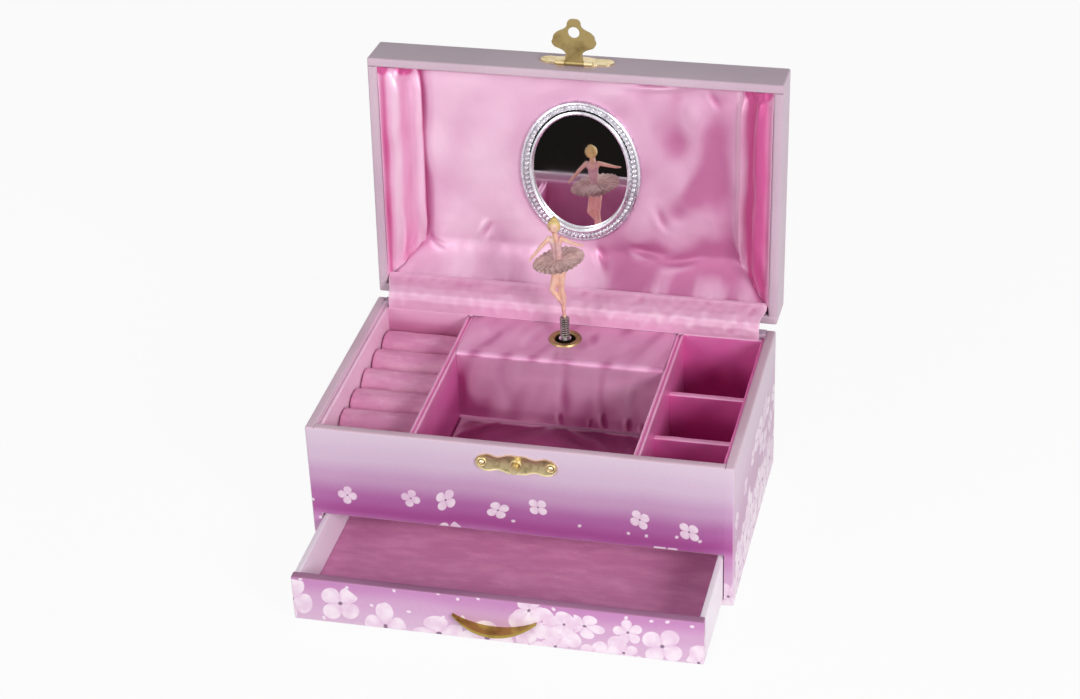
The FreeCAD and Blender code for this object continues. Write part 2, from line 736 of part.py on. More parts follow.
add_outline(flap_face, [
    (f"-{neck_half}", "0"),
    (neck_half, "0"),
    (neck_half, "-Sizes.flap_shoulder / 2"),
    (flap_half, "-Sizes.flap_shoulder"),
    (f"{flap_half} - Sizes.flap", f"-(Sizes.flap_shoulder + {taper_end}) / 2"),
    (tab_half, f"-{taper_end} - Sizes.flap"),
    (tab_half, "-Sizes.flap_length"),
    (f"-{tab_half}", "-Sizes.flap_length"),
    (f"-{tab_half}", f"-{taper_end} - Sizes.flap"),
    (f"Sizes.flap - {flap_half}", f"-(Sizes.flap_shoulder + {taper_end}) / 2"),
    (f"-{flap_half}", "-Sizes.flap_shoulder"),
    (f"-{neck_half}", "-Sizes.flap_shoulder / 2"),
])
add_circle(flap_face, "Sizes.flap_hole", "0", "-Sizes.flap_eye")
pad(flap_body, flap_face, "Sizes.flap", middle=True)
flap_roll = rod("Sizes.hasp_knuckle", "Sizes.flap_neck", (f"-{neck_half}", "0", "0"), along_x)
flap_bore = rod(hasp_bore, "2 * Sizes.flap_neck", ("-Sizes.flap_neck", "0", "0"), along_x)
piece("hasp_flap", on_lid(cut(fuse(flap_body, flap_roll), flap_bore), "0", hasp_v, hasp_w))
lid_nails = [nail(f"{side}{hasp_nail_x}", lid_front, f"{hasp_w} + {hasp_mid}", True) for side in ("-", "")]
for side in ("-", ""):
    for step in ("-", "+"):
        nail_x = f"{side}{leaf_x} {step} Sizes.hinge_width / 4"
        lid_nails.append(nail(nail_x, lid_back, nail_drop, False))
piece("lid_nails", on_lid(group(*lid_nails), "0", "0", "0"))


# Satin band that crosses the hinge gap, tight when the lid stands open
def hinge_cloth():
    thick = number("Sizes.cloth")
    reach = number(f"{lid_wall_height} - Sizes.lid_pad")
    ledge = number(f"{hinge_z} + Sizes.wall + Sizes.hinge_setback") + thick
    low = number(lining_top)
    front = number(lined_y)
    bend = number(half_depth)
    lean = math.radians(number("Sizes.lid_open") - 90)
    end_y = number(hinge_y) + reach * math.cos(lean)
    end_z = ledge - reach * math.sin(lean)
    inner = [
        FreeCAD.Vector(0, front, low),
        FreeCAD.Vector(0, front, ledge - thick),
        FreeCAD.Vector(0, bend, ledge + thick / 2),
        FreeCAD.Vector(0, end_y, end_z),
    ]
    outer = [FreeCAD.Vector(0, point.y, point.z + thick) for point in inner[1:]]
    outer[0].y = outer[0].y - thick
    base = FreeCAD.Vector(0, front - thick, low)
    ring = Part.makePolygon(inner + outer[::-1] + [base, inner[0]])
    width = 2 * number(lined_x)
    band = Part.Face(ring).extrude(FreeCAD.Vector(width, 0, 0))
    band.translate(FreeCAD.Vector(-width / 2, 0, 0))
    return band


piece("hinge_cloth", made_of(hinge_cloth()))

# Drawer, standing out of its bay
drawer_front_y = f"(-{half_depth} - Sizes.drawer_out)"
drawer_inner_y = f"({drawer_front_y} + Sizes.drawer_face)"
drawer_low = "(Sizes.base_thickness + Sizes.drawer_gap)"
drawer_wide = f"({inner_width} - 2 * Sizes.drawer_gap)"
drawer_half = f"({drawer_wide} / 2)"
drawer_long = "(Sizes.drawer_depth - Sizes.drawer_face)"
drawer_floor_top = f"({drawer_low} + Sizes.drawer_floor)"
drawer_side_rise = "(Sizes.drawer_side_height - Sizes.drawer_floor)"
piece("drawer_front", box(
    (drawer_wide, "Sizes.drawer_face", "Sizes.drawer_bay - 2 * Sizes.drawer_gap"),
    (f"-{drawer_half}", drawer_front_y, drawer_low),
))
piece("drawer_bottom", box(
    (drawer_wide, drawer_long, "Sizes.drawer_floor"),
    (f"-{drawer_half}", drawer_inner_y, drawer_low),
))
drawer_sides = (
    ("drawer_left_side", f"-{drawer_half}"),
    ("drawer_right_side", f"{drawer_half} - Sizes.drawer_side"),
)
for label, x in drawer_sides:
    piece(label, box(
        ("Sizes.drawer_side", drawer_long, drawer_side_rise),
        (x, drawer_inner_y, drawer_floor_top),
    ))
drawer_clear = f"({drawer_wide} - 2 * Sizes.drawer_side)"
piece("drawer_back", box(
    (drawer_clear, "Sizes.drawer_side", drawer_side_rise),
    (
        f"-{drawer_clear} / 2",
        f"{drawer_front_y} + Sizes.drawer_depth - Sizes.drawer_side",
        drawer_floor_top,
    ),
))
piece("drawer_felt", box(
    (drawer_clear, f"{drawer_long} - Sizes.drawer_side", "Sizes.drawer_felt"),
    (f"-{drawer_clear} / 2", drawer_inner_y, drawer_floor_top),
))


# Crescent pull: a smile-shaped lip, widest at the middle
def drawer_pull():
    half = number("Sizes.pull_width / 2")
    sag = number("Sizes.pull_sag")
    thick = number("Sizes.pull_thickness")
    reach = number("Sizes.pull_reach")
    face = number(drawer_front_y)
    ends = number(f"{drawer_low} + Sizes.pull_rise")
    upper = Part.Arc(
        FreeCAD.Vector(-half, face, ends),
        FreeCAD.Vector(0, face, ends - sag),
        FreeCAD.Vector(half, face, ends),
    )
    lower = Part.Arc(
        FreeCAD.Vector(half, face, ends - thick / 2),
        FreeCAD.Vector(0, face, ends - sag - thick),
        FreeCAD.Vector(-half, face, ends - thick / 2),
    )
    sides = [
        Part.LineSegment(upper.EndPoint, lower.StartPoint),
        Part.LineSegment(lower.EndPoint, upper.StartPoint),
    ]
    strip = Part.Wire([curve.toShape() for curve in (upper, sides[0], lower, sides[1])])
    lip = Part.Face(strip).extrude(FreeCAD.Vector(0, -reach, 0))
    below = ends - sag - 2 * thick
    plan_arc = Part.Arc(
        FreeCAD.Vector(-half, face - thick, below),
        FreeCAD.Vector(0, face - reach, below),
        FreeCAD.Vector(half, face - thick, below),
    )
    corners = [
        FreeCAD.Vector(half, face - thick, below),
        FreeCAD.Vector(half, face, below),
        FreeCAD.Vector(-half, face, below),
        FreeCAD.Vector(-half, face - thick, below),
    ]
    plan_edges = [plan_arc.toShape()]
    for start, end in zip(corners, corners[1:]):
        plan_edges.append(Part.LineSegment(start, end).toShape())
    plan = Part.Face(Part.Wire(plan_edges)).extrude(FreeCAD.Vector(0, 0, sag + 4 * thick))
    return lip.common(plan).Solids[0]


piece("drawer_pull", made_of(drawer_pull()))

# Movement plate on the back wall, with the holes that its shafts run in
plate_front = f"({inside_y} - Sizes.movement_plate)"
crown_front = f"({spindle_y} + Sizes.pinion_tip - Sizes.mesh_depth)"
crown_back = f"({crown_front} + Sizes.crown_tooth + Sizes.crown_disc)"
cylinder_start = f"(Sizes.crown_radius + Sizes.crown_face / 2 + Sizes.bracket + 2 * Sizes.axial_gap)"
cylinder_end = f"({cylinder_start} + Sizes.cylinder_length)"
bracket_left = f"({cylinder_start} - Sizes.axial_gap - Sizes.bracket)"
bracket_right = f"({cylinder_end} + Sizes.axial_gap)"
wheel_x = f"({bracket_right} + Sizes.bracket + Sizes.axial_gap)"
plate_left = "(-2 * Sizes.crown_radius)"
plate_wide = f"({wheel_x} - ({plate_left}))"
plate_low = f"({deck_top} + Sizes.screw_head)"
plate_high = f"({platform_under} - Sizes.screw_head)"
screw_inset = "(2 * Sizes.screw_head)"
screw_places = [
    (x, z)
    for x in (f"{plate_left} + {screw_inset}", f"{bracket_left} - Sizes.screw_head")
    for z in (f"{plate_low} + {screw_inset}", f"{plate_high} - {screw_inset}")
]
plate_blank = box(
    (plate_wide, "Sizes.movement_plate", f"{plate_high} - {plate_low}"),
    (plate_left, plate_front, plate_low),
)
plate_holes = [rod(
    "Sizes.arbor_radius + Sizes.running_fit", "2 * Sizes.wall",
    ("0", f"{inside_y} - Sizes.wall", barrel_z), along_y,
)]
for x, z in screw_places:
    hole_start = (x, f"{inside_y} - Sizes.wall", z)
    plate_holes.append(rod("Sizes.screw_radius", "2 * Sizes.wall", hole_start, along_y))
piece("movement_plate", cut(plate_blank, *plate_holes))
screws = []
for x, z in screw_places:
    shank = rod("Sizes.screw_radius", "Sizes.movement_plate", (x, plate_front, z), along_y)
    head = rod("Sizes.screw_head", "Sizes.screw_radius", (x, plate_front, z), toward_front)
    screws.append(fuse(shank, head))
piece("movement_screws", group(*screws))

# Brackets that carry the cylinder, the fan and the spindle
fan_z = f"({barrel_z} + Sizes.fan_distance)"
bracket_reach = f"({plate_front} - {spindle_y} + 3 * Sizes.cylinder_arbor)"
bracket_foot = "(3 * Sizes.cylinder_arbor)"
bracket_y = f"({spindle_y} - 3 * Sizes.cylinder_arbor)"


def shaft_bracket(x, height):
    blank = box(
        ("Sizes.bracket", bracket_reach, height),
        (x, bracket_y, f"{barrel_z} - {bracket_foot}"),
    )
    bore = "Sizes.cylinder_arbor + Sizes.running_fit"
    return blank, rod(bore, "3 * Sizes.bracket", (f"{x} - Sizes.bracket", spindle_y, barrel_z), along_x)


left_bracket = cut(*shaft_bracket(bracket_left, f"2 * {bracket_foot}"))
fan_bore = rod(
    "Sizes.fan_arbor + Sizes.running_fit", "3 * Sizes.bracket",
    (f"{bracket_right} - Sizes.bracket", spindle_y, fan_z), along_x,
)
right_bracket = cut(*shaft_bracket(bracket_right, f"Sizes.fan_distance + 2 * {bracket_foot}"), fan_bore)
bridge_z = f"({barrel_z} + Sizes.crown_radius + Sizes.crown_face / 2 + Sizes.axial_gap)"
bridge_blank = box(
    ("4 * Sizes.spindle_radius", f"{plate_front} - {spindle_y} + 2 * Sizes.spindle_radius", "Sizes.bracket"),
    ("-2 * Sizes.spindle_radius", f"{spindle_y} - 2 * Sizes.spindle_radius", bridge_z),
)
bridge_bore = rod(
    "Sizes.spindle_radius + Sizes.running_fit", "3 * Sizes.bracket",
    ("0", spindle_y, f"{bridge_z} - Sizes.bracket"),
)
piece("movement_brackets", group(left_bracket, right_bracket, cut(bridge_blank, bridge_bore)))

# Tuned comb under the cylinder, clamped to the plate by its block
comb_top = f"({barrel_z} - Sizes.cylinder_radius - Sizes.comb_gap)"
comb_low = f"({comb_top} - Sizes.comb_thickness)"
comb_tip = f"({spindle_y} - Sizes.comb_thickness)"
comb_bar = box(
    ("Sizes.cylinder_length", f"{plate_front} - ({comb_tip})", "Sizes.comb_thickness"),
    (cylinder_start, comb_tip, comb_low),
)
comb_foot = box(
    ("Sizes.cylinder_length", "Sizes.comb_block", "Sizes.comb_block"),
    (cylinder_start, f"{plate_front} - Sizes.comb_block", f"{comb_low} - Sizes.comb_block"),
)
comb_pitch = "(Sizes.cylinder_length / Sizes.comb_teeth)"
slot_long = f"({plate_front} - Sizes.comb_block - ({comb_tip}))"
slots = [
    box(
        ("Sizes.comb_slot", slot_long, "3 * Sizes.comb_thickness"),
        (
            f"{cylinder_start} + {index} * {comb_pitch} - Sizes.comb_slot / 2",
            f"{comb_tip} - Sizes.comb_slot",
            f"{comb_low} - Sizes.comb_thickness",
        ),
    )
    for index in range(1, int(number("Sizes.comb_teeth")))
]
piece("comb", cut(fuse(comb_bar, comb_foot), *slots))

# Spring barrel with its crown wheel and arbor, teeth towards the front
barrel = new_body()
crown_depth = "Sizes.crown_disc + Sizes.crown_tooth"
crown_inner = "(Sizes.crown_radius - Sizes.crown_face / 2)"
crown_outer = "(Sizes.crown_radius + Sizes.crown_face / 2)"
disc(barrel, crown_outer, "Sizes.crown_disc")
disc(barrel, "Sizes.barrel_radius", "Sizes.crown_disc + Sizes.barrel_length")
arbor_length = f"({half_depth} + Sizes.key_gap + Sizes.key_hub_length / 2 - {crown_back})"
disc(barrel, "Sizes.arbor_radius", arbor_length, reverse=True)
teeth(barrel, crown_inner, crown_outer, "Sizes.tooth_width", crown_depth, "Sizes.crown_teeth")
piece("spring_barrel", place(barrel, "0", crown_back, barrel_z, toward_front))

# Winding key behind the back wall
key_y = f"({half_depth} + Sizes.key_gap)"
key_solid = fuse(
    rod("Sizes.key_hub", "Sizes.key_hub_length", ("0", key_y, barrel_z), along_y),
    box(
        ("Sizes.key_span", "Sizes.key_depth", "Sizes.key_thickness"),
        (
            "-Sizes.key_span / 2",
            f"{key_y} + Sizes.key_hub_length / 2",
            f"{barrel_z} - Sizes.key_thickness / 2",
        ),
    ),
)
key_bore = rod(
    "Sizes.arbor_radius + Sizes.running_fit", "Sizes.key_hub_length",
    ("0", f"{key_y} - Sizes.key_hub_length / 2", barrel_z), along_y,
)
piece("winding_key", cut(key_solid, key_bore))

# Pinned cylinder, with its pinion and its fan wheel on one arbor
pinion_face = "Sizes.crown_face"
pinion_x = f"({crown_inner})"
pinion = new_body()
disc(pinion, "Sizes.pinion_root", pinion_face)
teeth(
    pinion, "Sizes.pinion_root / 2", "Sizes.pinion_tip",
    "Sizes.tooth_width", pinion_face, "Sizes.pinion_teeth",
)
place(pinion, pinion_x, spindle_y, barrel_z, along_x)
wheel = new_body()
disc(wheel, "Sizes.wheel_root", "Sizes.crown_disc")
teeth(
    wheel, "Sizes.wheel_root / 2", "Sizes.wheel_tip",
    "Sizes.fine_tooth", "Sizes.crown_disc", "Sizes.wheel_teeth",
)
place(wheel, wheel_x, spindle_y, barrel_z, along_x)
drum = rod("Sizes.cylinder_radius", "Sizes.cylinder_length", (cylinder_start, spindle_y, barrel_z), along_x)
arbor = rod(
    "Sizes.cylinder_arbor", f"{wheel_x} + Sizes.crown_disc - {pinion_x}",
    (pinion_x, spindle_y, barrel_z), along_x,
)
golden_turn = 137.508
pins = []
for index in range(1, int(number("Sizes.comb_teeth")) + 1):
    tine = f"{cylinder_start} + ({index} - 0.5) * {comb_pitch}"
    aim = FreeCAD.Rotation(FreeCAD.Vector(1, 0, 0), index * golden_turn)
    reach = "Sizes.cylinder_radius + Sizes.cylinder_pin_rise"
    pins.append(rod("Sizes.cylinder_pin", reach, (tine, spindle_y, barrel_z), aim))
piece("music_cylinder", fuse(pinion, wheel, drum, arbor, *pins))

# Air-brake fan on its pinion
fan = new_body()
disc(fan, "Sizes.fan_root", "Sizes.crown_disc")
teeth(fan, "Sizes.fan_root / 2", "Sizes.fan_tip", "Sizes.fine_tooth", "Sizes.crown_disc", "Sizes.fan_teeth")
half_tooth = FreeCAD.Rotation(FreeCAD.Vector(1, 0, 0), 180 / number("Sizes.fan_teeth"))
place(fan, wheel_x, spindle_y, fan_z, half_tooth.multiply(along_x))
fan_x = f"({wheel_x} + Sizes.crown_disc + Sizes.axial_gap)"
fan_shaft = rod(
    "Sizes.fan_arbor", f"{fan_x} + Sizes.fan_width - {bracket_right} + 2 * Sizes.axial_gap",
    (f"{bracket_right} - Sizes.axial_gap", spindle_y, fan_z), along_x,
)
blade = box(
    ("Sizes.fan_width", "Sizes.fan_blade", "2 * Sizes.fan_radius"),
    (fan_x, f"{spindle_y} - Sizes.fan_blade / 2", f"{fan_z} - Sizes.fan_radius"),
)
piece("governor_fan", fuse(fan, fan_shaft, blade))

# Spindle that turns the dancer
spindle_low = f"({barrel_z} + {crown_inner})"
spindle_pinion = new_body()
disc(spindle_pinion, "Sizes.pinion_root", pinion_face)
teeth(
    spindle_pinion, "Sizes.pinion_root / 2", "Sizes.pinion_tip",
    "Sizes.tooth_width", pinion_face, "Sizes.pinion_teeth",
)
place(spindle_pinion, "0", spindle_y, spindle_low)
spindle_end = f"({platform_top} + Sizes.eyelet_flange)"
cap_low = f"({spindle_end} - Sizes.spindle_cap_height)"
piece("spindle", fuse(
    spindle_pinion,
    rod("Sizes.spindle_radius", f"{spindle_end} - {spindle_low}", ("0", spindle_y, spindle_low)),
    rod("Sizes.spindle_cap", "Sizes.spindle_cap_height", ("0", spindle_y, cap_low)),
))

# Stop rod that the shut lid pushes down over the fan
stop_top = f"({hinge_z} + Sizes.lid_seam / 2 + Sizes.stop_travel - Sizes.stop_fit)"
foot_top = f"({platform_under} - Sizes.stop_fit)"
foot_low = f"({foot_top} - Sizes.stop_foot)"
piece("stop_rod", fuse(
    rod("Sizes.stop_radius", f"{stop_top} - {foot_low}", (stop_x, stop_y, foot_low)),
    box(
        ("2 * Sizes.stop_radius", f"{stop_y} - {spindle_y}", "Sizes.stop_foot"),
        (f"{stop_x} - Sizes.stop_radius", spindle_y, foot_low),
    ),
))


# Arc that leaves a point along a direction and ends at another point
def arc_to(start, direction, end):
    chord = end - start
    across = chord * (1 / chord.Length)
    angle = math.acos(max(-1, min(1, direction.dot(across))))
    side = direction - across * direction.dot(across)
    side.normalize()
    middle = (start + end) * 0.5 + side * (chord.Length / 2 * math.tan(angle / 2))
    return Part.Arc(start, middle, end)


# Two arcs that join two points and follow the direction at each
def biarc(start, leaving, end, arriving):
    chord = end - start
    both = leaving + arriving
    a = 2 * (1 - leaving.dot(arriving))
    b = 2 * chord.dot(both)
    c = -chord.dot(chord)
    d = (-b + math.sqrt(b * b - 4 * a * c)) / (2 * a)
    joint = (start + leaving * d + end - arriving * d) * 0.5
    first = arc_to(start, leaving, joint)
    tangent = joint - (start + leaving * d)
    tangent.normalize()
    return [first, arc_to(joint, tangent, end)]


# Coil spring under the dancer, one unbroken wire with straight ends
def stand_spring():
    radius = number("Sizes.coil_radius")
    wire = number("Sizes.coil_wire")
    pitch = number("Sizes.coil_pitch")
    turns = int(number("Sizes.coil_turns"))
    axis_y = number(spindle_y)
    low = number(spindle_end) + wire
    rise = pitch / (2 * math.pi * radius)
    scale = 1 / math.sqrt(1 + rise * rise)

    def spot(angle):
        return FreeCAD.Vector(
            radius * math.cos(angle), axis_y + radius * math.sin(angle), low + pitch * angle / (2 * math.pi)
        )

    def heading(angle):
        return FreeCAD.Vector(-math.sin(angle) * scale, math.cos(angle) * scale, rise * scale)

    quarter = math.pi / 2
    curves = [Part.LineSegment(spot(0) - heading(0) * wire, spot(0))]
    for step in range(4 * turns):
        start, end = step * quarter, (step + 1) * quarter
        curves += biarc(spot(start), heading(start), spot(end), heading(end))
    last = 4 * turns * quarter
    curves.append(Part.LineSegment(spot(last), spot(last) + heading(last) * wire))
    path = Part.Wire([curve.toShape() for curve in curves])
    section = Part.Wire([Part.Circle(spot(0) - heading(0) * wire, heading(0), wire / 2).toShape()])
    tube = path.makePipeShell([section], True, False)
    points = [point for edge in path.Edges for point in edge.discretize(4)]
    gaps = [
        a.distanceToPoint(b) - wire
        for i, a in enumerate(points)
        for b in points[i + 1:]
        if abs(a.z - b.z) > pitch / 2
    ]
    expected = math.pi * wire * wire / 4 * path.Length
    share = tube.Volume / expected
    print(f"stand_spring: least gap {min(gaps):.2f} mm, volume {share:.3f} of section by length")
    return tube


piece("stand_spring", made_of(stand_spring()))

# Dancer, given from the tip of the standing foot as shares of the figure's height
figure_z = f"({spindle_end} + Sizes.figure_seat)"


def dancer():
    unit = number("Sizes.figure_height") / 51
    axis = FreeCAD.Vector(0, number(spindle_y), number(figure_z))

    def spot(x, y, z):
        return axis + FreeCAD.Vector(x, y, z) * unit

    def ball(centre, radius):
        return Part.makeSphere(radius * unit, centre)

    def limb(start, start_radius, end, end_radius):
        along = end - start
        bone = Part.makeCone(start_radius * unit, end_radius * unit, along.Length, start, along)
        return [bone, ball(end, end_radius)]

    foot, ankle, calf = spot(0, 0, 0), spot(0, 0, 4), spot(0.2, 0.3, 8)
    knee, hip = spot(0, 0, 11.5), spot(0.8, 0, 19)
    raised_hip, raised_knee, raised_foot = spot(-1, -0.4, 19), spot(-3, -2, 12.2), spot(0.2, -1.9, 7.2)
    pelvis, waist, bust, neck = spot(0, 0, 19.5), spot(0, 0, 25.5), spot(0, 0, 33), spot(0, 0, 38.3)
    jaw, skull, bun = spot(0, 0, 41.8), spot(0, 0, 45.6), spot(0.2, 1.6, 49.2)
    solids = []
    solids += limb(foot, 0.7, ankle, 1.0)
    solids += limb(ankle, 1.0, calf, 1.6)
    solids += limb(calf, 1.6, knee, 1.35)
    solids += limb(knee, 1.35, hip, 2.1)
    solids += limb(raised_hip, 2.1, raised_knee, 1.35)
    solids += limb(raised_knee, 1.35, raised_foot, 0.7)
    solids += limb(pelvis, 3.2, waist, 2.2)
    solids += limb(waist, 2.2, bust, 3.2)
    solids += limb(bust, 3.2, neck, 1.7)
    solids += limb(neck, 1.2, jaw, 1.1)
    solids += [ball(pelvis, 3.2), ball(skull, 3.7), ball(bun, 1.7)]
    arms = (
        (spot(-2.7, 0, 36.6), spot(-8.2, -1.2, 32.4), spot(-12.9, -1.4, 27.4)),
        (spot(2.7, 0, 36.6), spot(7.6, -1.2, 36.2), spot(12.2, -1.4, 38.2)),
    )
    for shoulder, elbow, hand in arms:
        solids += [ball(shoulder, 1.2)]
        solids += limb(shoulder, 1.2, elbow, 0.95)
        solids += limb(elbow, 0.95, hand, 0.65)
    peg = number("Sizes.figure_peg")
    below = number("2 * Sizes.coil_pitch")
    solids.append(Part.makeCylinder(peg, below + 2 * peg, foot - FreeCAD.Vector(0, 0, below)))
    return solids[0].multiFuse(solids[1:]).removeSplitter()


figure_solid = dancer()
piece("ballerina_figure", made_of(figure_solid))


# Tulle skirt: a thin cone whose hem rises and falls in ruffles
def tutu():
    waist = number("Sizes.tutu_waist")
    hem = number("Sizes.tutu_radius")
    thick = number("Sizes.tutu_thickness")
    droop = number("Sizes.tutu_droop")
    ruffles = int(number("Sizes.tutu_ruffles"))
    steps = 2 * ruffles

    def edge_ring(radius, height, wave):
        spots = []
        for step in range(steps):
            angle = 2 * math.pi * step / steps
            lift = wave if step % 2 else -wave
            spots.append(FreeCAD.Vector(radius * math.cos(angle), radius * math.sin(angle), height + lift))
        return spots

    inner_top = edge_ring(waist, thick / 2, 0)
    outer_top = edge_ring(hem, thick / 2 - droop, thick / 2)
    outer_low = edge_ring(hem, -thick / 2 - droop, thick / 2)
    inner_low = edge_ring(waist, -thick / 2, 0)
    faces = []
    rings = [inner_top, outer_top, outer_low, inner_low]
    for near, far in zip(rings, rings[1:] + rings[:1]):
        for step in range(steps):
            after = (step + 1) % steps
            corners = (near[step], far[step], far[after], near[after])
            for three in ((0, 1, 2), (0, 2, 3)):
                triangle = [corners[index] for index in three]
                faces.append(Part.Face(Part.makePolygon(triangle + triangle[:1])))
    shell = Part.Shell(faces)
    shell.sewShape()
    skirt = Part.Solid(shell)
    if skirt.Volume < 0:
        skirt.reverse()
    skirt.rotate(FreeCAD.Vector(), FreeCAD.Vector(0, 1, 0), -number("Sizes.tutu_tilt"))
    skirt.translate(FreeCAD.Vector(0, number(spindle_y), number(f"{figure_z} + Sizes.tutu_rise")))
    return skirt


piece("tutu", made_of(tutu()))

# Every piece is whole before anything is written
doc.recompute()
failed = [thing.Label for thing in doc.Objects if {"Invalid", "Error"} & set(thing.State)]
broken = [thing.Label for thing in pieces if thing.Shape.isNull() or not thing.Shape.isValid()]
if failed or broken:
    raise RuntimeError(f"failed: {failed}, broken: {broken}")
os.makedirs("parts", exist_ok=True)
for thing in pieces:
    thing.Shape.exportStep(f"parts/{thing.Label}.step")
print(f"wrote {len(pieces)} pieces")
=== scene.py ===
import bpy
import bmesh
import math
import numpy as np
from mathutils import Matrix, Vector, noise


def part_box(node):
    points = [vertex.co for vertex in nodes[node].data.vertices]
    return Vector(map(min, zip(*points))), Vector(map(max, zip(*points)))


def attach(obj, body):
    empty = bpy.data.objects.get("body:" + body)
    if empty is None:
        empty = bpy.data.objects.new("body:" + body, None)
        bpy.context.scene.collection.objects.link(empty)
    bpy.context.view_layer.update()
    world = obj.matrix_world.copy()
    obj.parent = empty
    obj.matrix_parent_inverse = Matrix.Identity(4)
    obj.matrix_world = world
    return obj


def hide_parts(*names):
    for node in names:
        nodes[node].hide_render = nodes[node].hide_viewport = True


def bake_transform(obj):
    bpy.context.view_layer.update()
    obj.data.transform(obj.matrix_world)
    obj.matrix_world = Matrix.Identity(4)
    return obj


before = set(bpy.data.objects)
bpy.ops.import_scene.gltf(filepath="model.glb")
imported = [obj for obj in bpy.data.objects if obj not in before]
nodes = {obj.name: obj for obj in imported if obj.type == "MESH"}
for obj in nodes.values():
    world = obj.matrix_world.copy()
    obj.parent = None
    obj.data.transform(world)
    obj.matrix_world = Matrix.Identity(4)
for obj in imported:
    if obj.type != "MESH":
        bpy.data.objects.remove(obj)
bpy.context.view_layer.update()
scene = bpy.context.scene
mm, perMetre = 0.001, 1000
lidOpen = math.radians(93.5)
lidPin = Vector((0, 57, 68.45))
lidPlace = Matrix.Translation(lidPin) @ Matrix.Rotation(-lidOpen, 4, "X")  # shut lid to open lid, mm
lidBack = lidPlace.inverted()
standY = 37  # the dancer's axis
print("frame loaded:", len(nodes), "nodes")


# small helpers for meshes, all in millimetres until a piece is finished
def nodeBox(name):
    low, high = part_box(name)
    return low * perMetre, high * perMetre


def lidBox(name):
    spots = [lidBack @ (v.co * perMetre) for v in nodes[name].data.vertices]
    return (Vector([min(p[i] for p in spots) for i in range(3)]),
            Vector([max(p[i] for p in spots) for i in range(3)]))


def lerp(a, b, t):
    return a + (b - a) * t


def ease(a, b, t):
    t = max(0.0, min(1.0, (t - a) / (b - a)))
    return t * t * (3 - 2 * t)


def inFrom(t, start, end, low=0.0, high=1.0):  # none at the ends, full once that far in from each
    return ease(low, low + start, t) * ease(high, high - end, t)


def ripple(x, y, z=0.0):
    return noise.noise(Vector((x, y, z)))


def ridge(x, y, z=0.0):
    return 1 - abs(noise.noise(Vector((x, y, z)))) * 2


def addBlock(bm, low, high):
    verts = bmesh.ops.create_cube(bm, size=1)["verts"]
    bmesh.ops.scale(bm, vec=high - low, verts=verts)
    bmesh.ops.translate(bm, vec=(low + high) / 2, verts=verts)
    return verts


def roundOff(bm, geom, radius, segments, affect="EDGES"):
    bmesh.ops.bevel(bm, geom=geom, offset=radius, offset_type="OFFSET", segments=segments, profile=0.5,
                    affect=affect, material=-1, clamp_overlap=True)


def splitLong(bm, longer, cuts):
    edges = [e for e in bm.edges if e.calc_length() > longer]
    bmesh.ops.subdivide_edges(bm, edges=edges, cuts=cuts, use_grid_fill=True)


def vertsOf(geom):
    return [g for g in geom if isinstance(g, bmesh.types.BMVert)]


def ringEdges(verts):
    return list({e for v in verts for e in v.link_edges})


def onPlane(point, low, high, code):
    axis = "xyz".index(code[0])
    side = low if code[1] == "-" else high
    return abs(point[axis] - side[axis]) < 1e-3


# a board whose named edges are rounded; "x- z+" is the edge at lowest x and highest z
def addBoard(bm, low, high, radius, codes, segments=3):
    verts = addBlock(bm, low, high)
    picked = [e for e in ringEdges(verts) if any(
        all(onPlane(v.co, low, high, c) for v in e.verts for c in code.split()) for code in codes)]
    roundOff(bm, picked, radius, segments)


def boardsOf(spec, boxOf=nodeBox):
    bm = bmesh.new()
    for name, codes in spec["boards"].items():
        addBoard(bm, *boxOf(name), spec["round"], codes)
    return bm


topEdges = ["x- z+", "x+ z+", "y- z+", "y+ z+"]
footEdges = ["x- z-", "x+ z-", "y- z-", "y+ z-"]
upEdges = ["x- y-", "x- y+", "x+ y-", "x+ y+"]


def clothGrid(spec, spot):
    bm = bmesh.new()
    bmesh.ops.create_grid(bm, x_segments=spec["cols"], y_segments=spec["rows"], size=0.5)
    for v in bm.verts:
        v.co = spot(v.co.x + 0.5, v.co.y + 0.5)
    return bm


# the cloth is turned to show its face one way and gets its thickness behind
def backCloth(bm, spec, way):
    bmesh.ops.recalc_face_normals(bm, faces=bm.faces)
    if sum(f.normal.dot(way) for f in bm.faces) < 0:
        bmesh.ops.reverse_faces(bm, faces=bm.faces)
    bmesh.ops.solidify(bm, geom=bm.faces[:], thickness=spec["thick"])


def addTube(bm, start, end, radius, segments=24, taper=None):
    along = end - start
    turn = along.to_track_quat("Z", "Y").to_matrix().to_4x4()
    place = Matrix.Translation((start + end) / 2) @ turn
    bmesh.ops.create_cone(bm, cap_ends=True, segments=segments, radius1=radius,
                          radius2=radius if taper is None else taper, depth=along.length, matrix=place)


def pushOut(bm, amount):
    bm.normal_update()
    moves = [(v, v.normal.copy() * amount(v.co, v.normal)) for v in bm.verts]
    for v, move in moves:
        v.co += move


# leaf-shaped folds in a cloth, each a dip with a soft crest beside it
def creaseDepth(x, v, creases):
    depth = 0.0
    for cx, cv, turned, long, wide, deep in creases:
        a = math.radians(turned)
        along = (x - cx) * math.cos(a) + (v - cv) * math.sin(a)
        off = (v - cv) * math.cos(a) - (x - cx) * math.sin(a) + 0.12 * along * along / long
        if abs(along) < long and abs(off) < wide * 2:
            lip = math.exp(-(off / wide * 1.6) ** 2) - 0.8 * math.exp(-((off / wide - 0.75) * 1.9) ** 2)
            depth += deep * (1 - (along / long) ** 2) ** 2 * lip
    return depth


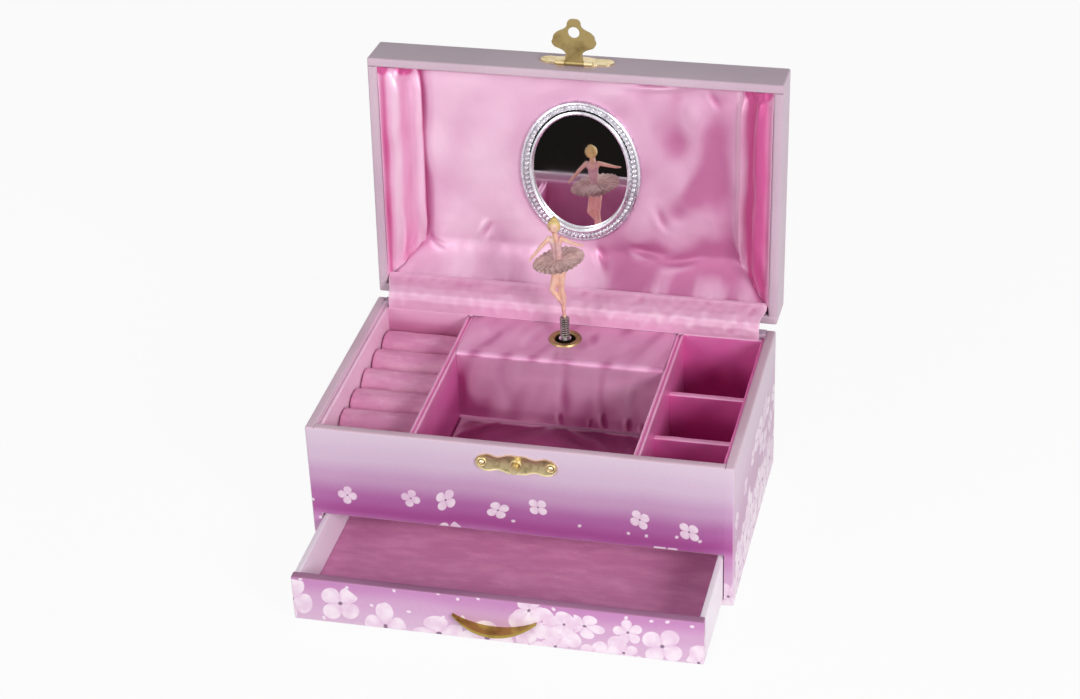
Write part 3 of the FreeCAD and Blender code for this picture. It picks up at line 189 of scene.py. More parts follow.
# how far each point lies in a fold (up to 1) or on a crest (down to -1): painted shade in folds, painted
# highlight on crests
def markFoldShade(bm, rounds, depth):
    layer = bm.verts.layers.float.new("fold")
    bm.normal_update()
    bm.verts.index_update()
    spots = np.array([v.co for v in bm.verts])
    ways = np.array([v.normal for v in bm.verts])
    ends = np.array([[v.index for v in e.verts] for e in bm.edges])
    count = len(spots)
    share = np.bincount(ends.ravel(), minlength=count)[:, None]
    flat = spots.copy()
    for _ in range(rounds):  # smooth a copy, then see how far the cloth lies below it
        total = np.stack([np.bincount(ends[:, 0], flat[ends[:, 1], k], count)
                          + np.bincount(ends[:, 1], flat[ends[:, 0], k], count) for k in range(3)], axis=1)
        flat = 0.5 * flat + 0.5 * total / share
    dips = np.clip(((flat - spots) * ways).sum(axis=1) / depth, -1, 1)
    for v, dip in zip(bm.verts, dips):
        v[layer] = dip


def meshOf(piece):
    return bpy.data.meshes.new_from_object(piece.evaluated_get(bpy.context.evaluated_depsgraph_get()))


def objectOf(bm, name):
    mesh = bpy.data.meshes.new(name)
    bm.to_mesh(mesh)
    bm.free()
    piece = bpy.data.objects.new(name, mesh)
    scene.collection.objects.link(piece)
    return piece


def pourInto(bm, part):  # adds one mesh in work to another
    copy = bpy.data.meshes.new("part")
    part.to_mesh(copy)
    part.free()
    bm.from_mesh(copy)
    bpy.data.meshes.remove(copy)


def addGrain(piece, voxel):
    grain = piece.modifiers.new("grain", "REMESH")
    grain.mode, grain.voxel_size = "VOXEL", voxel


def addBall(bm, radius, shape, spot):
    verts = bmesh.ops.create_icosphere(bm, subdivisions=2, radius=radius)["verts"]
    bmesh.ops.scale(bm, vec=shape, verts=verts)
    bmesh.ops.translate(bm, vec=spot, verts=verts)


def finishPiece(bm, name, materials, body, replaces, place=None, paint=None, sharp=35, folds=None):
    bmesh.ops.recalc_face_normals(bm, faces=bm.faces)
    # folds: painted shade and highlight for the satin's colour, as a function of the point or as
    # markFoldShade's rounds and depth
    if callable(folds):
        layer = bm.verts.layers.float.new("fold")
        for v in bm.verts:
            v[layer] = max(-1.0, min(1.0, folds(v.co)))
    elif folds:
        markFoldShade(bm, *folds)
    if place:
        bmesh.ops.transform(bm, matrix=place, verts=bm.verts)
    bmesh.ops.scale(bm, vec=(mm, mm, mm), verts=bm.verts)
    limit = math.radians(sharp)
    for face in bm.faces:
        face.smooth = True
    for edge in bm.edges:
        edge.smooth = len(edge.link_faces) != 2 or edge.calc_face_angle(0) < limit
    piece = objectOf(bm, name)
    for material in materials:
        piece.data.materials.append(material)
    if paint:
        for face in piece.data.polygons:
            face.material_index = paint(face.center * perMetre, face.normal)
    if body:
        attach(piece, body)
    if replaces:
        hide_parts(*replaces)
    return piece


# small helpers for materials
def tone(r, g, b):  # a colour as the eye reads it, 0 to 255
    return tuple(c / 255 / 12.92 if c <= 10 else ((c / 255 + 0.055) / 1.055) ** 2.4 for c in (r, g, b)) + (1,)


class Recipe:
    def __init__(self, owner, kind="Material"):
        self.owner = owner
        owner.use_nodes = True
        self.tree = owner.node_tree
        self.tree.nodes.clear()
        self.out = self.add("Output" + kind)

    def add(self, kind, inputs=None, **settings):
        made = self.tree.nodes.new("ShaderNode" + kind)
        for key, value in settings.items():
            setattr(made, key, value)
        for key, value in (inputs or {}).items():
            self.put(made.inputs[key], value)
        return made

    def put(self, socket, value):
        if isinstance(value, bpy.types.NodeSocket):
            self.tree.links.new(value, socket)
        else:
            socket.default_value = value

    def calc(self, work, a, b=0.0, c=0.0):
        return self.add("Math", {0: a, 1: b, 2: c}, operation=work).outputs[0]

    def times(self, a, b):
        return self.calc("MULTIPLY", a, b)

    def plus(self, a, b):
        return self.calc("ADD", a, b)

    def minus(self, a, b):
        return self.calc("SUBTRACT", a, b)

    def fit(self, a, scale, shift):
        return self.calc("MULTIPLY_ADD", a, scale, shift)

    def absolute(self, a):
        return self.calc("ABSOLUTE", a)

    def ramp(self, fac, stops):
        made = self.add("ValToRGB", {"Fac": fac})
        made.color_ramp.interpolation = "EASE"
        bits = made.color_ramp.elements
        while len(bits) < len(stops):
            bits.new(0.5)
        for bit, (spot, colour) in zip(bits, stops):
            bit.position, bit.color = spot, colour
        return made.outputs["Color"]

    def between(self, value, low, high, toLow=0.0, toHigh=1.0, curve="SMOOTHSTEP"):
        made = self.add("MapRange", {0: value, 1: low, 2: high, 3: toLow, 4: toHigh})
        made.interpolation_type = curve
        return made.outputs[0]

    def mix(self, fac, a, b, blend="MIX"):
        made = self.add("Mix", data_type="RGBA", blend_type=blend)
        self.put(made.inputs["Factor"], fac)
        self.put(made.inputs["A"], a)
        self.put(made.inputs["B"], b)
        return made.outputs["Result"]

    def split(self, vector):
        return self.add("SeparateXYZ", {0: vector}).outputs[:]

    def bump(self, height, strength, distance, under=None):
        made = self.add("Bump", {"Height": height, "Strength": strength, "Distance": distance})
        if under is not None:
            self.put(made.inputs["Normal"], under)
        return made.outputs[0]

    def direct(self):  # what the camera sees itself, by mirrors or through glass, not by bounced light
        rays = self.add("LightPath").outputs
        bent = self.calc("MAXIMUM", rays["Is Glossy Ray"], rays["Is Transmission Ray"])
        return self.calc("MAXIMUM", rays["Is Camera Ray"], bent)


class Finish(Recipe):
    def __init__(self, name):
        super().__init__(bpy.data.materials.new(name))
        self.shader = self.add("BsdfPrincipled")
        self.put(self.out.inputs[0], self.shader.outputs[0])
        self.place = self.add("TexCoord").outputs["Object"]

    def speckle(self, scale, detail=3.0, rough=0.5, stretch=None):
        spot = self.place
        if stretch:
            spot = self.add("Mapping", {"Vector": spot, "Scale": stretch}).outputs[0]
        inputs = {"Vector": spot, "Scale": scale, "Detail": detail, "Roughness": rough}
        return self.add("TexNoise", inputs).outputs[0]

    def finish(self, sockets):
        for name, value in sockets.items():
            self.put(self.shader.inputs[name], value)
        return self.owner


# scattered blossoms on a flat print: across and up in mm, one blossom to a cell
def blossomLayer(r, across, up, cell, radius, chance, seed, petals=2.0, gap=0.3, loose=0.6):
    spot = r.add("CombineXYZ", {
        0: r.fit(across, 1 / cell, seed),
        1: r.fit(up, 1 / cell, seed * 1.7),
    }).outputs[0]
    cells = r.add("TexVoronoi", {"Vector": spot, "Scale": 1.0, "Randomness": loose}, voronoi_dimensions="2D")
    local = r.add("VectorMath", {0: spot, 1: cells.outputs["Position"]}, operation="SUBTRACT").outputs[0]
    cx, cy = r.split(cells.outputs["Position"])[:2]
    luckA, luckB, luckC = r.split(cells.outputs["Color"])
    turned = {"Vector": local, "Angle": r.times(luckA, 6.283)}
    sx, sy = r.split(r.add("VectorRotate", turned, rotation_type="Z_AXIS").outputs[0])[:2]
    sy = r.times(sy, r.fit(luckC, 0.5, 1.0))  # some are seen from the side
    far = r.calc("SQRT", r.plus(r.times(sx, sx), r.times(sy, sy)))
    angle = r.calc("ARCTAN2", sy, sx)
    lobe = r.calc("POWER", r.absolute(r.calc("COSINE", r.times(angle, petals))), 0.42)
    size = r.fit(luckC, 0.4 * radius / cell, 0.8 * radius / cell)
    edge = r.times(size, r.fit(lobe, 1 - gap, gap))
    centreUp = r.times(r.minus(cy, seed * 1.7), cell)
    centreAcross = r.times(r.minus(cx, seed), cell)
    here = r.calc("LESS_THAN", luckB, chance(centreUp, centreAcross))
    soft = 0.3 / cell
    mask = r.times(r.between(r.minus(edge, far), -soft, soft), here)
    reach = r.calc("DIVIDE", far, size)
    vein = r.times(r.between(reach, 0.1, 0.85, 1.0, 0.15), r.between(lobe, 0.45, 1.0, 1.0, 0.2))
    eye = r.times(r.between(reach, 0.07, 0.13, 1.0, 0.0), here)
    return mask, vein, eye


def layBlossoms(r, colour, layer, petal, fold, heart, veil):
    mask, vein, eye = layer
    white = r.mix(r.times(vein, 0.8), r.mix(veil, petal, fold), fold)
    return r.mix(r.times(eye, 0.85), r.mix(r.times(mask, 0.93), colour, white), heart)


casePrint = {
    "height": 68.3,
    "ground": [(0.0, tone(224, 198, 219)), (0.10, tone(215, 178, 208)), (0.22, tone(209, 163, 201)),
               (0.34, tone(196, 134, 186)), (0.43, tone(168, 82, 150)), (0.53, tone(176, 104, 164)),
               (0.68, tone(196, 154, 191)), (0.82, tone(208, 182, 206)), (1.0, tone(214, 193, 211))],
    "sidePale": tone(220, 196, 212), "petal": tone(248, 235, 244), "fold": tone(226, 190, 218),
    "heart": tone(104, 66, 104),
}


def printedPaper():
    r = Finish("printedPaper")
    x, y, z = r.split(r.place)
    across = r.times(r.plus(x, y), perMetre)
    up = r.times(z, perMetre)
    drift = r.fit(r.speckle(20, 2), 7.0, -3.5)
    colour = r.ramp(r.calc("DIVIDE", r.plus(up, drift), casePrint["height"]), casePrint["ground"])
    sideWall = r.between(r.absolute(x), 0.0892, 0.0898)
    colour = r.mix(r.times(sideWall, 0.55), colour, casePrint["sidePale"])
    grain = r.speckle(900, 2)
    colour = r.mix(0.06, colour, grain, "OVERLAY")
    veil = r.between(r.speckle(140, 2), 0.35, 0.7, 0.0, 0.7)
    petal, fold, heart = casePrint["petal"], casePrint["fold"], casePrint["heart"]
    dots = blossomLayer(r, across, up, 9.5, 0.85, lambda h, a: r.between(h, 26, 44, 0.6, 0.0), 3.37, 0.0, 1.0)
    colour = r.mix(r.times(dots[0], 0.8), colour, petal)
    for cell, radius, chance, seed, petals in casePrintLayers(r):
        layer = blossomLayer(r, across, up, cell, radius, chance, seed, petals)
        colour = layBlossoms(r, colour, layer, petal, fold, heart, veil)
    return r.finish({
        "Base Color": colour, "Roughness": r.between(grain, 0.3, 0.7, 0.36, 0.46), "Specular IOR Level": 0.45,
        "Normal": r.bump(grain, 0.12, 0.0004),
    })


def casePrintLayers(r):
    def upTo(h, low, high, most):
        return r.between(h, low, high, most, 0.0)

    def sparse(h, a):
        return r.times(upTo(h, 42, 45, 0.95), r.between(h, 25, 27))

    def pastLeft(h, a):
        return r.times(upTo(h, 22, 26, 0.85), r.between(a, -115, -90))

    def pastRight(h, a):
        return r.times(upTo(h, 46, 54, 0.7), r.between(a, 60, 95))

    return [  # cell, radius, chance by height and place, seed, petals
        (21.0, 5.2, sparse, 7.315, 2.0), (20.0, 11.0, lambda h, a: upTo(h, 20, 24, 0.95), 5.794, 2.0),
        (15.0, 7.6, pastLeft, 8.24, 2.5), (14.0, 6.6, pastRight, 2.9, 2.0),
    ]


def plainPaper(name, light, dark, rough=0.45):
    r = Finish(name)
    grain = r.speckle(800, 3)
    cloud = r.speckle(18, 2)
    colour = r.mix(r.between(cloud, 0.3, 0.7), tone(*dark), tone(*light))
    colour = r.mix(0.07, colour, grain, "OVERLAY")
    return r.finish({
        "Base Color": colour, "Roughness": r.between(grain, 0.3, 0.7, rough - 0.05, rough + 0.06),
        "Specular IOR Level": 0.4, "Normal": r.bump(grain, 0.15, 0.0004),
    })


lidDesign = {
    "pale": tone(226, 212, 224), "haze": tone(203, 160, 204), "deep": tone(178, 98, 172),
    "white": tone(249, 242, 248), "line": tone(168, 110, 170),
    "middle": 57.0, "band": ((0.0, "deep"), (0.34, "haze"), (0.72, "pale"), (1.0, "pale")), "bandReach": 56.0,
    "petals": [  # reach, turn, colour, strength
        (27.0, 0.0, "white", 0.85), (20.0, 0.5, "haze", 0.9), (13.0, 0.0, "white", 0.9),
        (6.0, 0.5, "deep", 0.9)],
    "scallop": 46.5, "scallopDeep": 3.0, "scallopWide": 9.0, "lines": ((0.0, 0.45), (2.2, 0.3)),
}


# the lid's top: a soft lengthwise band, one twelve-petal rosette, scalloped lace lines and sparkles
def lidPaper():
    r = Finish("lidPaper")
    spot = r.add("Mapping", {
        "Vector": r.place, "Location": lidPin * mm, "Rotation": (-lidOpen, 0, 0),
    }, vector_type="TEXTURE").outputs[0]
    x, v = r.split(spot)[:2]
    along = r.times(x, perMetre)
    side = r.fit(v, perMetre, lidDesign["middle"])
    far = r.calc("SQRT", r.plus(r.times(along, along), r.times(side, side)))
    turn = r.calc("ARCTAN2", side, along)
    sway = r.fit(r.speckle(16, 2), 14.0, -7.0)
    sideFar = r.plus(r.absolute(side), sway)
    band = [(spot, lidDesign[name]) for spot, name in lidDesign["band"]]
    colour = r.ramp(r.calc("DIVIDE", sideFar, lidDesign["bandReach"]), band)

    def sparkChance(h, a):
        return r.between(r.absolute(h), 24, 34, 0.6, 0.0)

    sparks = blossomLayer(r, along, side, 11.0, 2.4, sparkChance, 4.9, 2.0)
    colour = r.mix(r.times(sparks[0], 0.8), colour, lidDesign["white"])
    for reach, phase, fill, share in lidDesign["petals"]:
        lobe = r.absolute(r.calc("COSINE", r.fit(turn, 6.0, phase * math.pi)))
        edge = r.times(r.fit(r.calc("POWER", lobe, 0.6), 0.3, 0.7), reach)
        gap = r.minus(edge, far)
        colour = r.mix(r.times(r.between(gap, -0.25, 0.25), share), colour, lidDesign[fill])
        colour = r.mix(r.between(r.absolute(gap), 0.15, 0.5, 0.85, 0.0), colour, lidDesign["line"])
    deep = lidDesign["scallopDeep"]
    wave = r.absolute(r.calc("SINE", r.times(along, math.pi / lidDesign["scallopWide"])))
    for shift, thick in lidDesign["lines"]:
        rail = r.fit(wave, deep, lidDesign["scallop"] - deep + shift)
        lace = r.absolute(r.minus(r.absolute(side), rail))
        colour = r.mix(r.between(lace, thick, thick + 0.3, 0.8, 0.0), colour, lidDesign["line"])
    grain = r.speckle(800, 3)
    colour = r.mix(0.06, colour, grain, "OVERLAY")
    return r.finish({
        "Base Color": colour, "Roughness": r.between(grain, 0.3, 0.7, 0.34, 0.44), "Specular IOR Level": 0.45,
        "Normal": r.bump(grain, 0.12, 0.0004),
    })


def satinCloth(name, light, deep, rough=0.36, shine=0.4, crumple=0.3):
    r = Finish(name)
    cloud = r.speckle(30, 3)
    fold = r.add("Attribute", attribute_name="fold").outputs["Fac"]
    colour = r.mix(r.between(cloud, 0.4, 0.75, 0.0, 0.3), tone(*light), tone(*deep))
    # painted shade: the deep tone goes where the fold attribute marks a fold
    colour = r.mix(r.between(fold, 0.0, 0.9, 0.0, 0.9), colour, tone(*deep))
    # painted highlight: a pale pink goes on the crests
    colour = r.mix(r.between(fold, 0.0, -0.9, 0.0, 0.6), colour, tone(246, 212, 232))
    weave = r.add("TexWave", {"Vector": r.place, "Scale": 900.0, "Distortion": 1.2, "Detail": 1.0},
                  bands_direction="DIAGONAL").outputs["Fac"]
    soft = r.bump(r.speckle(110, 3), crumple, 0.0016)
    return r.finish({
        "Base Color": colour, "Metallic": shine,
        "Roughness": r.between(weave, 0, 1, rough - 0.04, rough + 0.06), "Specular IOR Level": 0.6,
        "Sheen Weight": 0.2, "Sheen Roughness": 0.35, "Sheen Tint": tone(255, 222, 240), "Anisotropic": 0.3,
        "Normal": r.bump(weave, 0.06, 0.0002, soft),
    })


def napCloth(name, light, deep, scale, sheen):
    r = Finish(name)
    pile = r.speckle(scale, 4, 0.7)
    brushed = r.speckle(60, 3, 0.6, stretch=(1, 3, 1))
    colour = r.mix(r.between(brushed, 0.35, 0.7), tone(*deep), tone(*light))
    colour = r.mix(r.between(pile, 0.35, 0.7, 0.0, 0.35), colour, tone(*deep))
    return r.finish({
        "Base Color": colour, "Roughness": r.between(pile, 0, 1, 0.8, 0.98), "Specular IOR Level": 0.15,
        "Sheen Weight": sheen, "Sheen Roughness": 0.4, "Sheen Tint": tone(255, 205, 228),
        "Normal": r.bump(pile, 0.5, 0.0005, r.bump(brushed, 0.2, 0.001)),
    })


def metalCoat(name, colour, dull, rough, scale=140, pits=0.1):
    r = Finish(name)
    worn = r.speckle(scale, 4, 0.6)
    fine = r.speckle(1200, 2, 0.5, stretch=(1, 1, 6))
    tint = r.mix(r.between(worn, 0.42, 0.75), tone(*colour), tone(*dull))
    return r.finish({
        "Base Color": tint, "Metallic": 1.0,
        "Roughness": r.fit(fine, 0.1, r.between(worn, 0.3, 0.8, rough, rough + 0.14)),
        "Normal": r.bump(worn, pits, 0.0004),
    })


def mouldedPlastic(name, light, shade, rough=0.42, glow=0.15):
    r = Finish(name)
    cloud = r.speckle(260, 3)
    colour = r.mix(r.between(cloud, 0.35, 0.7), tone(*light), tone(*shade))
    return r.finish({
        "Base Color": colour, "Roughness": r.between(cloud, 0, 1, rough - 0.06, rough + 0.08),
        "Subsurface Weight": glow, "Subsurface Radius": (0.6, 0.3, 0.2), "Subsurface Scale": 0.001,
        "Normal": r.bump(cloud, 0.08, 0.0003),
    })


def tulleNet():
    r = Finish("tulleNet")
    inputs = {"Vector": r.place, "Scale": 2600.0}
    net = r.add("TexVoronoi", inputs, feature="DISTANCE_TO_EDGE").outputs["Distance"]
    cloud = r.speckle(300, 3)
    colour = r.mix(r.between(cloud, 0.3, 0.75), tone(230, 198, 192), tone(192, 154, 150))
    holes = r.between(net, 0.08, 0.22, 1.0, 0.7)
    return r.finish({
        "Base Color": colour, "Roughness": 0.7, "Alpha": holes, "Sheen Weight": 0.35, "Sheen Roughness": 0.5,
        "Normal": r.bump(net, 0.15, 0.0002),
    })


def mirrorGlass():
    r = Finish("mirrorGlass")
    smear = r.speckle(45, 3)
    colour = r.mix(r.between(smear, 0.4, 0.8), tone(236, 238, 238), tone(226, 228, 230))
    return r.finish({
        "Base Color": colour, "Metallic": 1.0,
        "Roughness": r.between(smear, 0.35, 0.8, 0.012, 0.05),
    })


paper = printedPaper()
lidTopPaper = lidPaper()
lilacPaper = plainPaper("lilacPaper", (217, 197, 210), (206, 184, 199))
# painted shade: a darker mauve copy of the paper for the drawer front's top edge
edgePaper = plainPaper("edgePaper", (176, 122, 158), (156, 102, 138))
rimPaper = plainPaper("rimPaper", (230, 201, 217), (214, 183, 199))
lidRimPaper = plainPaper("lidRimPaper", (209, 184, 199), (197, 170, 187))
# painted shade: a greyer, darker copy of the lid paper for the lid's front wall, which faces up in shade when
# open
lidFrontPaper = plainPaper("lidFrontPaper", (206, 187, 199), (195, 175, 188))
pearlPaper = plainPaper("pearlPaper", (250, 240, 249), (242, 228, 240))
satinPink = satinCloth("satinPink", (236, 178, 211), (204, 70, 142), 0.42, 0.32, 0.2)
# painted light: a paler copy of the satin for the left lining, which is lit from the right
satinPale = satinCloth("satinPale", (248, 222, 238), (222, 160, 198), 0.42, 0.26, 0.35)
satinCeiling = satinCloth("satinCeiling", (228, 178, 208), (188, 102, 151), 0.44, 0.28, 0.2)
satinStrip = satinCloth("satinStrip", (226, 170, 202), (194, 98, 150), 0.56, 0.1, 0.3)
satinTray = satinCloth("satinTray", (228, 168, 204), (164, 60, 124), 0.4, 0.32, 0.2)
# painted shade: a deeper copy of the satin for the walls and floors inside the wells
satinDeep = satinCloth("satinDeep", (230, 112, 184), (172, 46, 124), 0.36, 0.3, 0.2)
# painted shade: a dark copy of the satin for the centre floor, which lies in shadow
satinFloor = satinCloth("satinFloor", (156, 66, 118), (102, 26, 70), 0.36, 0.38, 0.2)
velour = napCloth("velour", (248, 188, 218), (228, 154, 194), 1500, 0.3)
feltNap = napCloth("feltNap", (234, 160, 202), (216, 138, 184), 1100, 0.25)
brass = metalCoat("brass", (232, 214, 170), (194, 170, 120), 0.26)
# painted reflection: a darker olive copy of brass for the drawer pull, whose faces reflect dark
pullBrass = metalCoat("pullBrass", (176, 152, 76), (128, 104, 42), 0.24)
pressedBrass = metalCoat("pressedBrass", (212, 196, 150), (150, 132, 92), 0.3, 380, 0.4)
bronze = metalCoat("bronze", (164, 140, 96), (112, 94, 60), 0.34)
# painted shade: a darker, duller copy of brass for the hasp flap, which sits in shade
agedBrass = metalCoat("agedBrass", (176, 154, 104), (128, 108, 68), 0.3)
steel = metalCoat("steel", (188, 188, 192), (150, 150, 154), 0.3)
chrome = metalCoat("chrome", (226, 226, 230), (190, 188, 192), 0.1)
springSteel = metalCoat("springSteel", (164, 156, 152), (112, 104, 100), 0.16)
silver = metalCoat("silver", (228, 226, 232), (182, 178, 188), 0.18, 400, 0.15)
glass = mirrorGlass()
skin = mouldedPlastic("skin", (240, 202, 180), (231, 182, 160))
bodice = mouldedPlastic("bodice", (226, 188, 190), (206, 160, 168), 0.5)
hair = mouldedPlastic("hair", (232, 208, 138), (206, 176, 100), 0.45, 0.05)
slipper = mouldedPlastic("slipper", (226, 176, 168), (208, 150, 146), 0.4)
faceInk = mouldedPlastic("faceInk", (92, 60, 50), (78, 48, 42), 0.4, 0.0)
lipInk = mouldedPlastic("lipInk", (196, 92, 92), (184, 80, 82), 0.4, 0.0)
tulle = tulleNet()
print("materials mixed:", len(bpy.data.materials))

# case: paper-wrapped boards with softened outer edges
caseWrap = {
    "round": 0.9, "inner": (86.05, 51.55), "rimAbove": 60, "trayAbove": 28,
    "boards": {  # which edges of each board are rounded
        "left_wall": topEdges + ["x- y-", "x- y+"], "right_wall": topEdges + ["x+ y-", "x+ y+"],
        "front_panel": ["y- z+", "y+ z+", "y- z-"], "base_board": upEdges + footEdges,
    },
}


def paintCase(spot, normal):
    inside = abs(spot.x) < caseWrap["inner"][0] and abs(spot.y) < caseWrap["inner"][1]
    if (normal.z > 0.3 and spot.z > caseWrap["rimAbove"]) or (inside and spot.z > caseWrap["trayAbove"]):
        return 1
    return 2 if inside or normal.z < -0.5 else 0


finishPiece(boardsOf(caseWrap), "caseWrap", [paper, rimPaper, pearlPaper], "case", caseWrap["boards"],
            paint=paintCase, sharp=50)

# lid: the same wrap, with its printed top and a painted-shade front wall
lidWrap = {
    "round": 0.9, "topAbove": 20, "rimBelow": 2, "frontPast": -112,
    "boards": {
        "lid_top": topEdges + upEdges, "lid_front_wall": footEdges + ["x- y-", "x+ y-"],
        "lid_back_wall": footEdges + ["x- y+", "x+ y+"], "lid_left_wall": ["x- z-", "x+ z-"],
        "lid_right_wall": ["x- z-", "x+ z-"],
    },
}


def paintLid(spot, normal):
    local = lidBack @ spot
    face = lidBack.to_3x3() @ normal
    if face.z > 0.9 and local.z > lidWrap["topAbove"]:
        return 0
    if face.z < -0.3 and local.z < lidWrap["rimBelow"]:
        return 2
    # the lid's front wall takes the painted-shade paper
    return 3 if face.y < -0.7 and local.y < lidWrap["frontPast"] else 1


lidPapers = [lidTopPaper, lilacPaper, lidRimPaper, lidFrontPaper]
finishPiece(boardsOf(lidWrap, lidBox), "lidWrap", lidPapers, "lid", lidWrap["boards"],
            place=lidPlace, paint=paintLid, sharp=50)

# drawer: printed front with a painted-shade top edge, pearl paper tray, felt floor
drawerFace = {"round": 0.6, "boards": {"drawer_front": topEdges + footEdges + upEdges}}
finishPiece(boardsOf(drawerFace), "drawerFace", [paper, edgePaper, pearlPaper], "drawer",
            drawerFace["boards"], sharp=50,
            paint=lambda spot, normal: 1 if normal.z > 0.6 else 2 if normal.y > 0.5 else 0)
trayBoards = ("drawer_left_side", "drawer_right_side", "drawer_back")
drawerTray = {"round": 0.6, "boards": dict.fromkeys(trayBoards, topEdges)}
finishPiece(boardsOf(drawerTray), "drawerTray", [pearlPaper], "drawer", drawerTray["boards"],
            sharp=50)
drawerFelt = {"edge": 0.35, "fuzz": 0.09, "gap": (Vector((0.1, 0.1, 0.02)), Vector((0.1, 0.1, 0)))}
bm = bmesh.new()
low, high = nodeBox("drawer_felt")
under, over = drawerFelt["gap"]
addBoard(bm, low + under, high - over, drawerFelt["edge"], topEdges + upEdges, 2)
splitLong(bm, 20, 60)
pushOut(bm, lambda p, n: drawerFelt["fuzz"] * ripple(p.x / 9, p.y / 9, 4.0) if n.z > 0.5 else 0.0)
felt = finishPiece(bm, "drawerFelt", [feltNap], "drawer", ("drawer_felt",))
print("case, lid and drawer wrapped")

# tray linings and dividers: board covered in satin, edges softened
trayLining = {
    "round": 0.75, "crumple": 0.16, "backCrumple": 0.14, "backSpans": ((-84.4, -47.4), (50.1, 84.4)),
    "sides": {  # rounded edges, cloth
        "front_lining": (["y- z+", "y+ z+"], satinPink), "left_lining": (["x- z+", "x+ z+"], satinPale),
        "right_lining": (["x- z+", "x+ z+"], satinDeep),
    },
}


def footShade(p, rim, foot, top=64, low=36):  # painted shade, lighter at the rim and darker towards the foot
    return lerp(rim, foot, ease(top, low, p.z))


# painted shade darker towards the foot of the wells, with a little random tone
def depthShade(p):
    return footShade(p, -0.2, 0.85) + 0.2 * ripple(p.x / 8 + p.y / 8, p.z / 10, 1.0)


for name, (codes, cloth) in trayLining["sides"].items():
    bm = bmesh.new()
    addBoard(bm, *nodeBox(name), trayLining["round"], codes, 4)
    splitLong(bm, 15, 36)
    pushOut(bm, lambda p, n: trayLining["crumple"] * (0.6 + ripple(p.x / 12 + p.y / 10, p.z / 12, 2.0)))
    # painted shade: darker towards the foot on the right lining, in the folds on the others
    shade = depthShade if name == "right_lining" else (20, 0.15)
    cover = finishPiece(bm, name + "Satin", [cloth], "case", (name,), folds=shade)
bm = bmesh.new()
low, high = nodeBox("back_linings")
for left, right in trayLining["backSpans"]:
    ends = Vector((left, low.y, low.z)), Vector((right, high.y, high.z))
    addBoard(bm, *ends, trayLining["round"], ["y- z+", "y+ z+"], 4)
splitLong(bm, 15, 16)
pushOut(bm, lambda p, n: trayLining["backCrumple"] * (0.6 + ripple(p.x / 9, p.z / 10, 7.0)))
# painted shade: the left part darker below the ring rolls' tops, the right part darker towards the foot
backCover = finishPiece(bm, "backLiningsSatin", [satinDeep, satinTray, satinStrip], "case", ("back_linings",),
                        paint=lambda spot, normal: 2 if spot.x < 0 else 1 if spot.z > 65 else 0,
                        folds=lambda p: 0.6 * ease(64, 57, p.z) if p.x < 0 else depthShade(p))

dividerWrap = {"round": 0.7, "crossRound": 0.8, "slit": 0.5, "groove": 0.6, "puff": 0.12, "seam": 1.2,
               "crossAt": (-17.5, 17.5), "crossHalf": 1.5}


def finishDivider(bm, name, cloth, paint, folds):
    splitLong(bm, 12, 24)
    pushOut(bm, lambda p, n: dividerWrap["puff"] * ripple(p.x / 7 + p.y / 9, p.z / 9, 3.0))
    finishPiece(bm, name + "Satin", [cloth, satinPink, satinDeep], "case", (name,), paint=paint,
                sharp=40, folds=folds)


for name in ("left_divider", "right_divider"):
    bm = bmesh.new()
    low, high = nodeBox(name)
    addBoard(bm, low, high, dividerWrap["round"], topEdges, 4)
    bm.normal_update()  # then the sewn slit along the top
    tops = [f for f in bm.faces if f.normal.z > 0.99 and f.calc_center_median().z > high.z - 0.1]
    bmesh.ops.inset_region(bm, faces=tops, thickness=dividerWrap["slit"], depth=0)
    for face in tops:
        bmesh.ops.translate(bm, vec=(0, 0, -dividerWrap["groove"]), verts=list(face.verts))
    seamTop = high.z

    # painted shade: the shaded well satin on the groove floor and on the faces that look into the wells to
    # the right
    def paintDivider(spot, normal):
        belowSeam = spot.z < seamTop - dividerWrap["seam"]
        if (normal.z > 0.9 and spot.z < seamTop - 0.3) or (normal.x > 0.5 and belowSeam):
            return 2
        return 1 if spot.z > seamTop - dividerWrap["seam"] else 0

    finishDivider(bm, name, satinTray, paintDivider, lambda p: footShade(p, -0.25, 0.9))
bm = bmesh.new()
low, high = nodeBox("cross_dividers")
for y in dividerWrap["crossAt"]:
    near, far = y - dividerWrap["crossHalf"], y + dividerWrap["crossHalf"]
    ends = Vector((low.x, near, low.z)), Vector((high.x, far, high.z))
    addBoard(bm, *ends, dividerWrap["crossRound"], ["y- z+", "y+ z+"], 4)
crossTop = high.z - 0.6
# painted light and shade: lighter satin on the tops, the shaded well satin on the sides, darker towards the
# foot
finishDivider(bm, "cross_dividers", satinDeep, lambda spot, normal: 1 if normal.z > 0.25 else 0,
              lambda p: -0.1 if p.z > crossTop else footShade(p, -0.15, 0.8, 55, 34))

# floor pads: the cover is blown up in a short cloth simulation while its sides and underside are held
floorPad = {"inset": 0.15, "start": 0.6, "voxel": 1.6, "pressure": 4.0, "loose": -0.012, "stiff": 0.5,
            "frames": 20, "crown": 1.2}


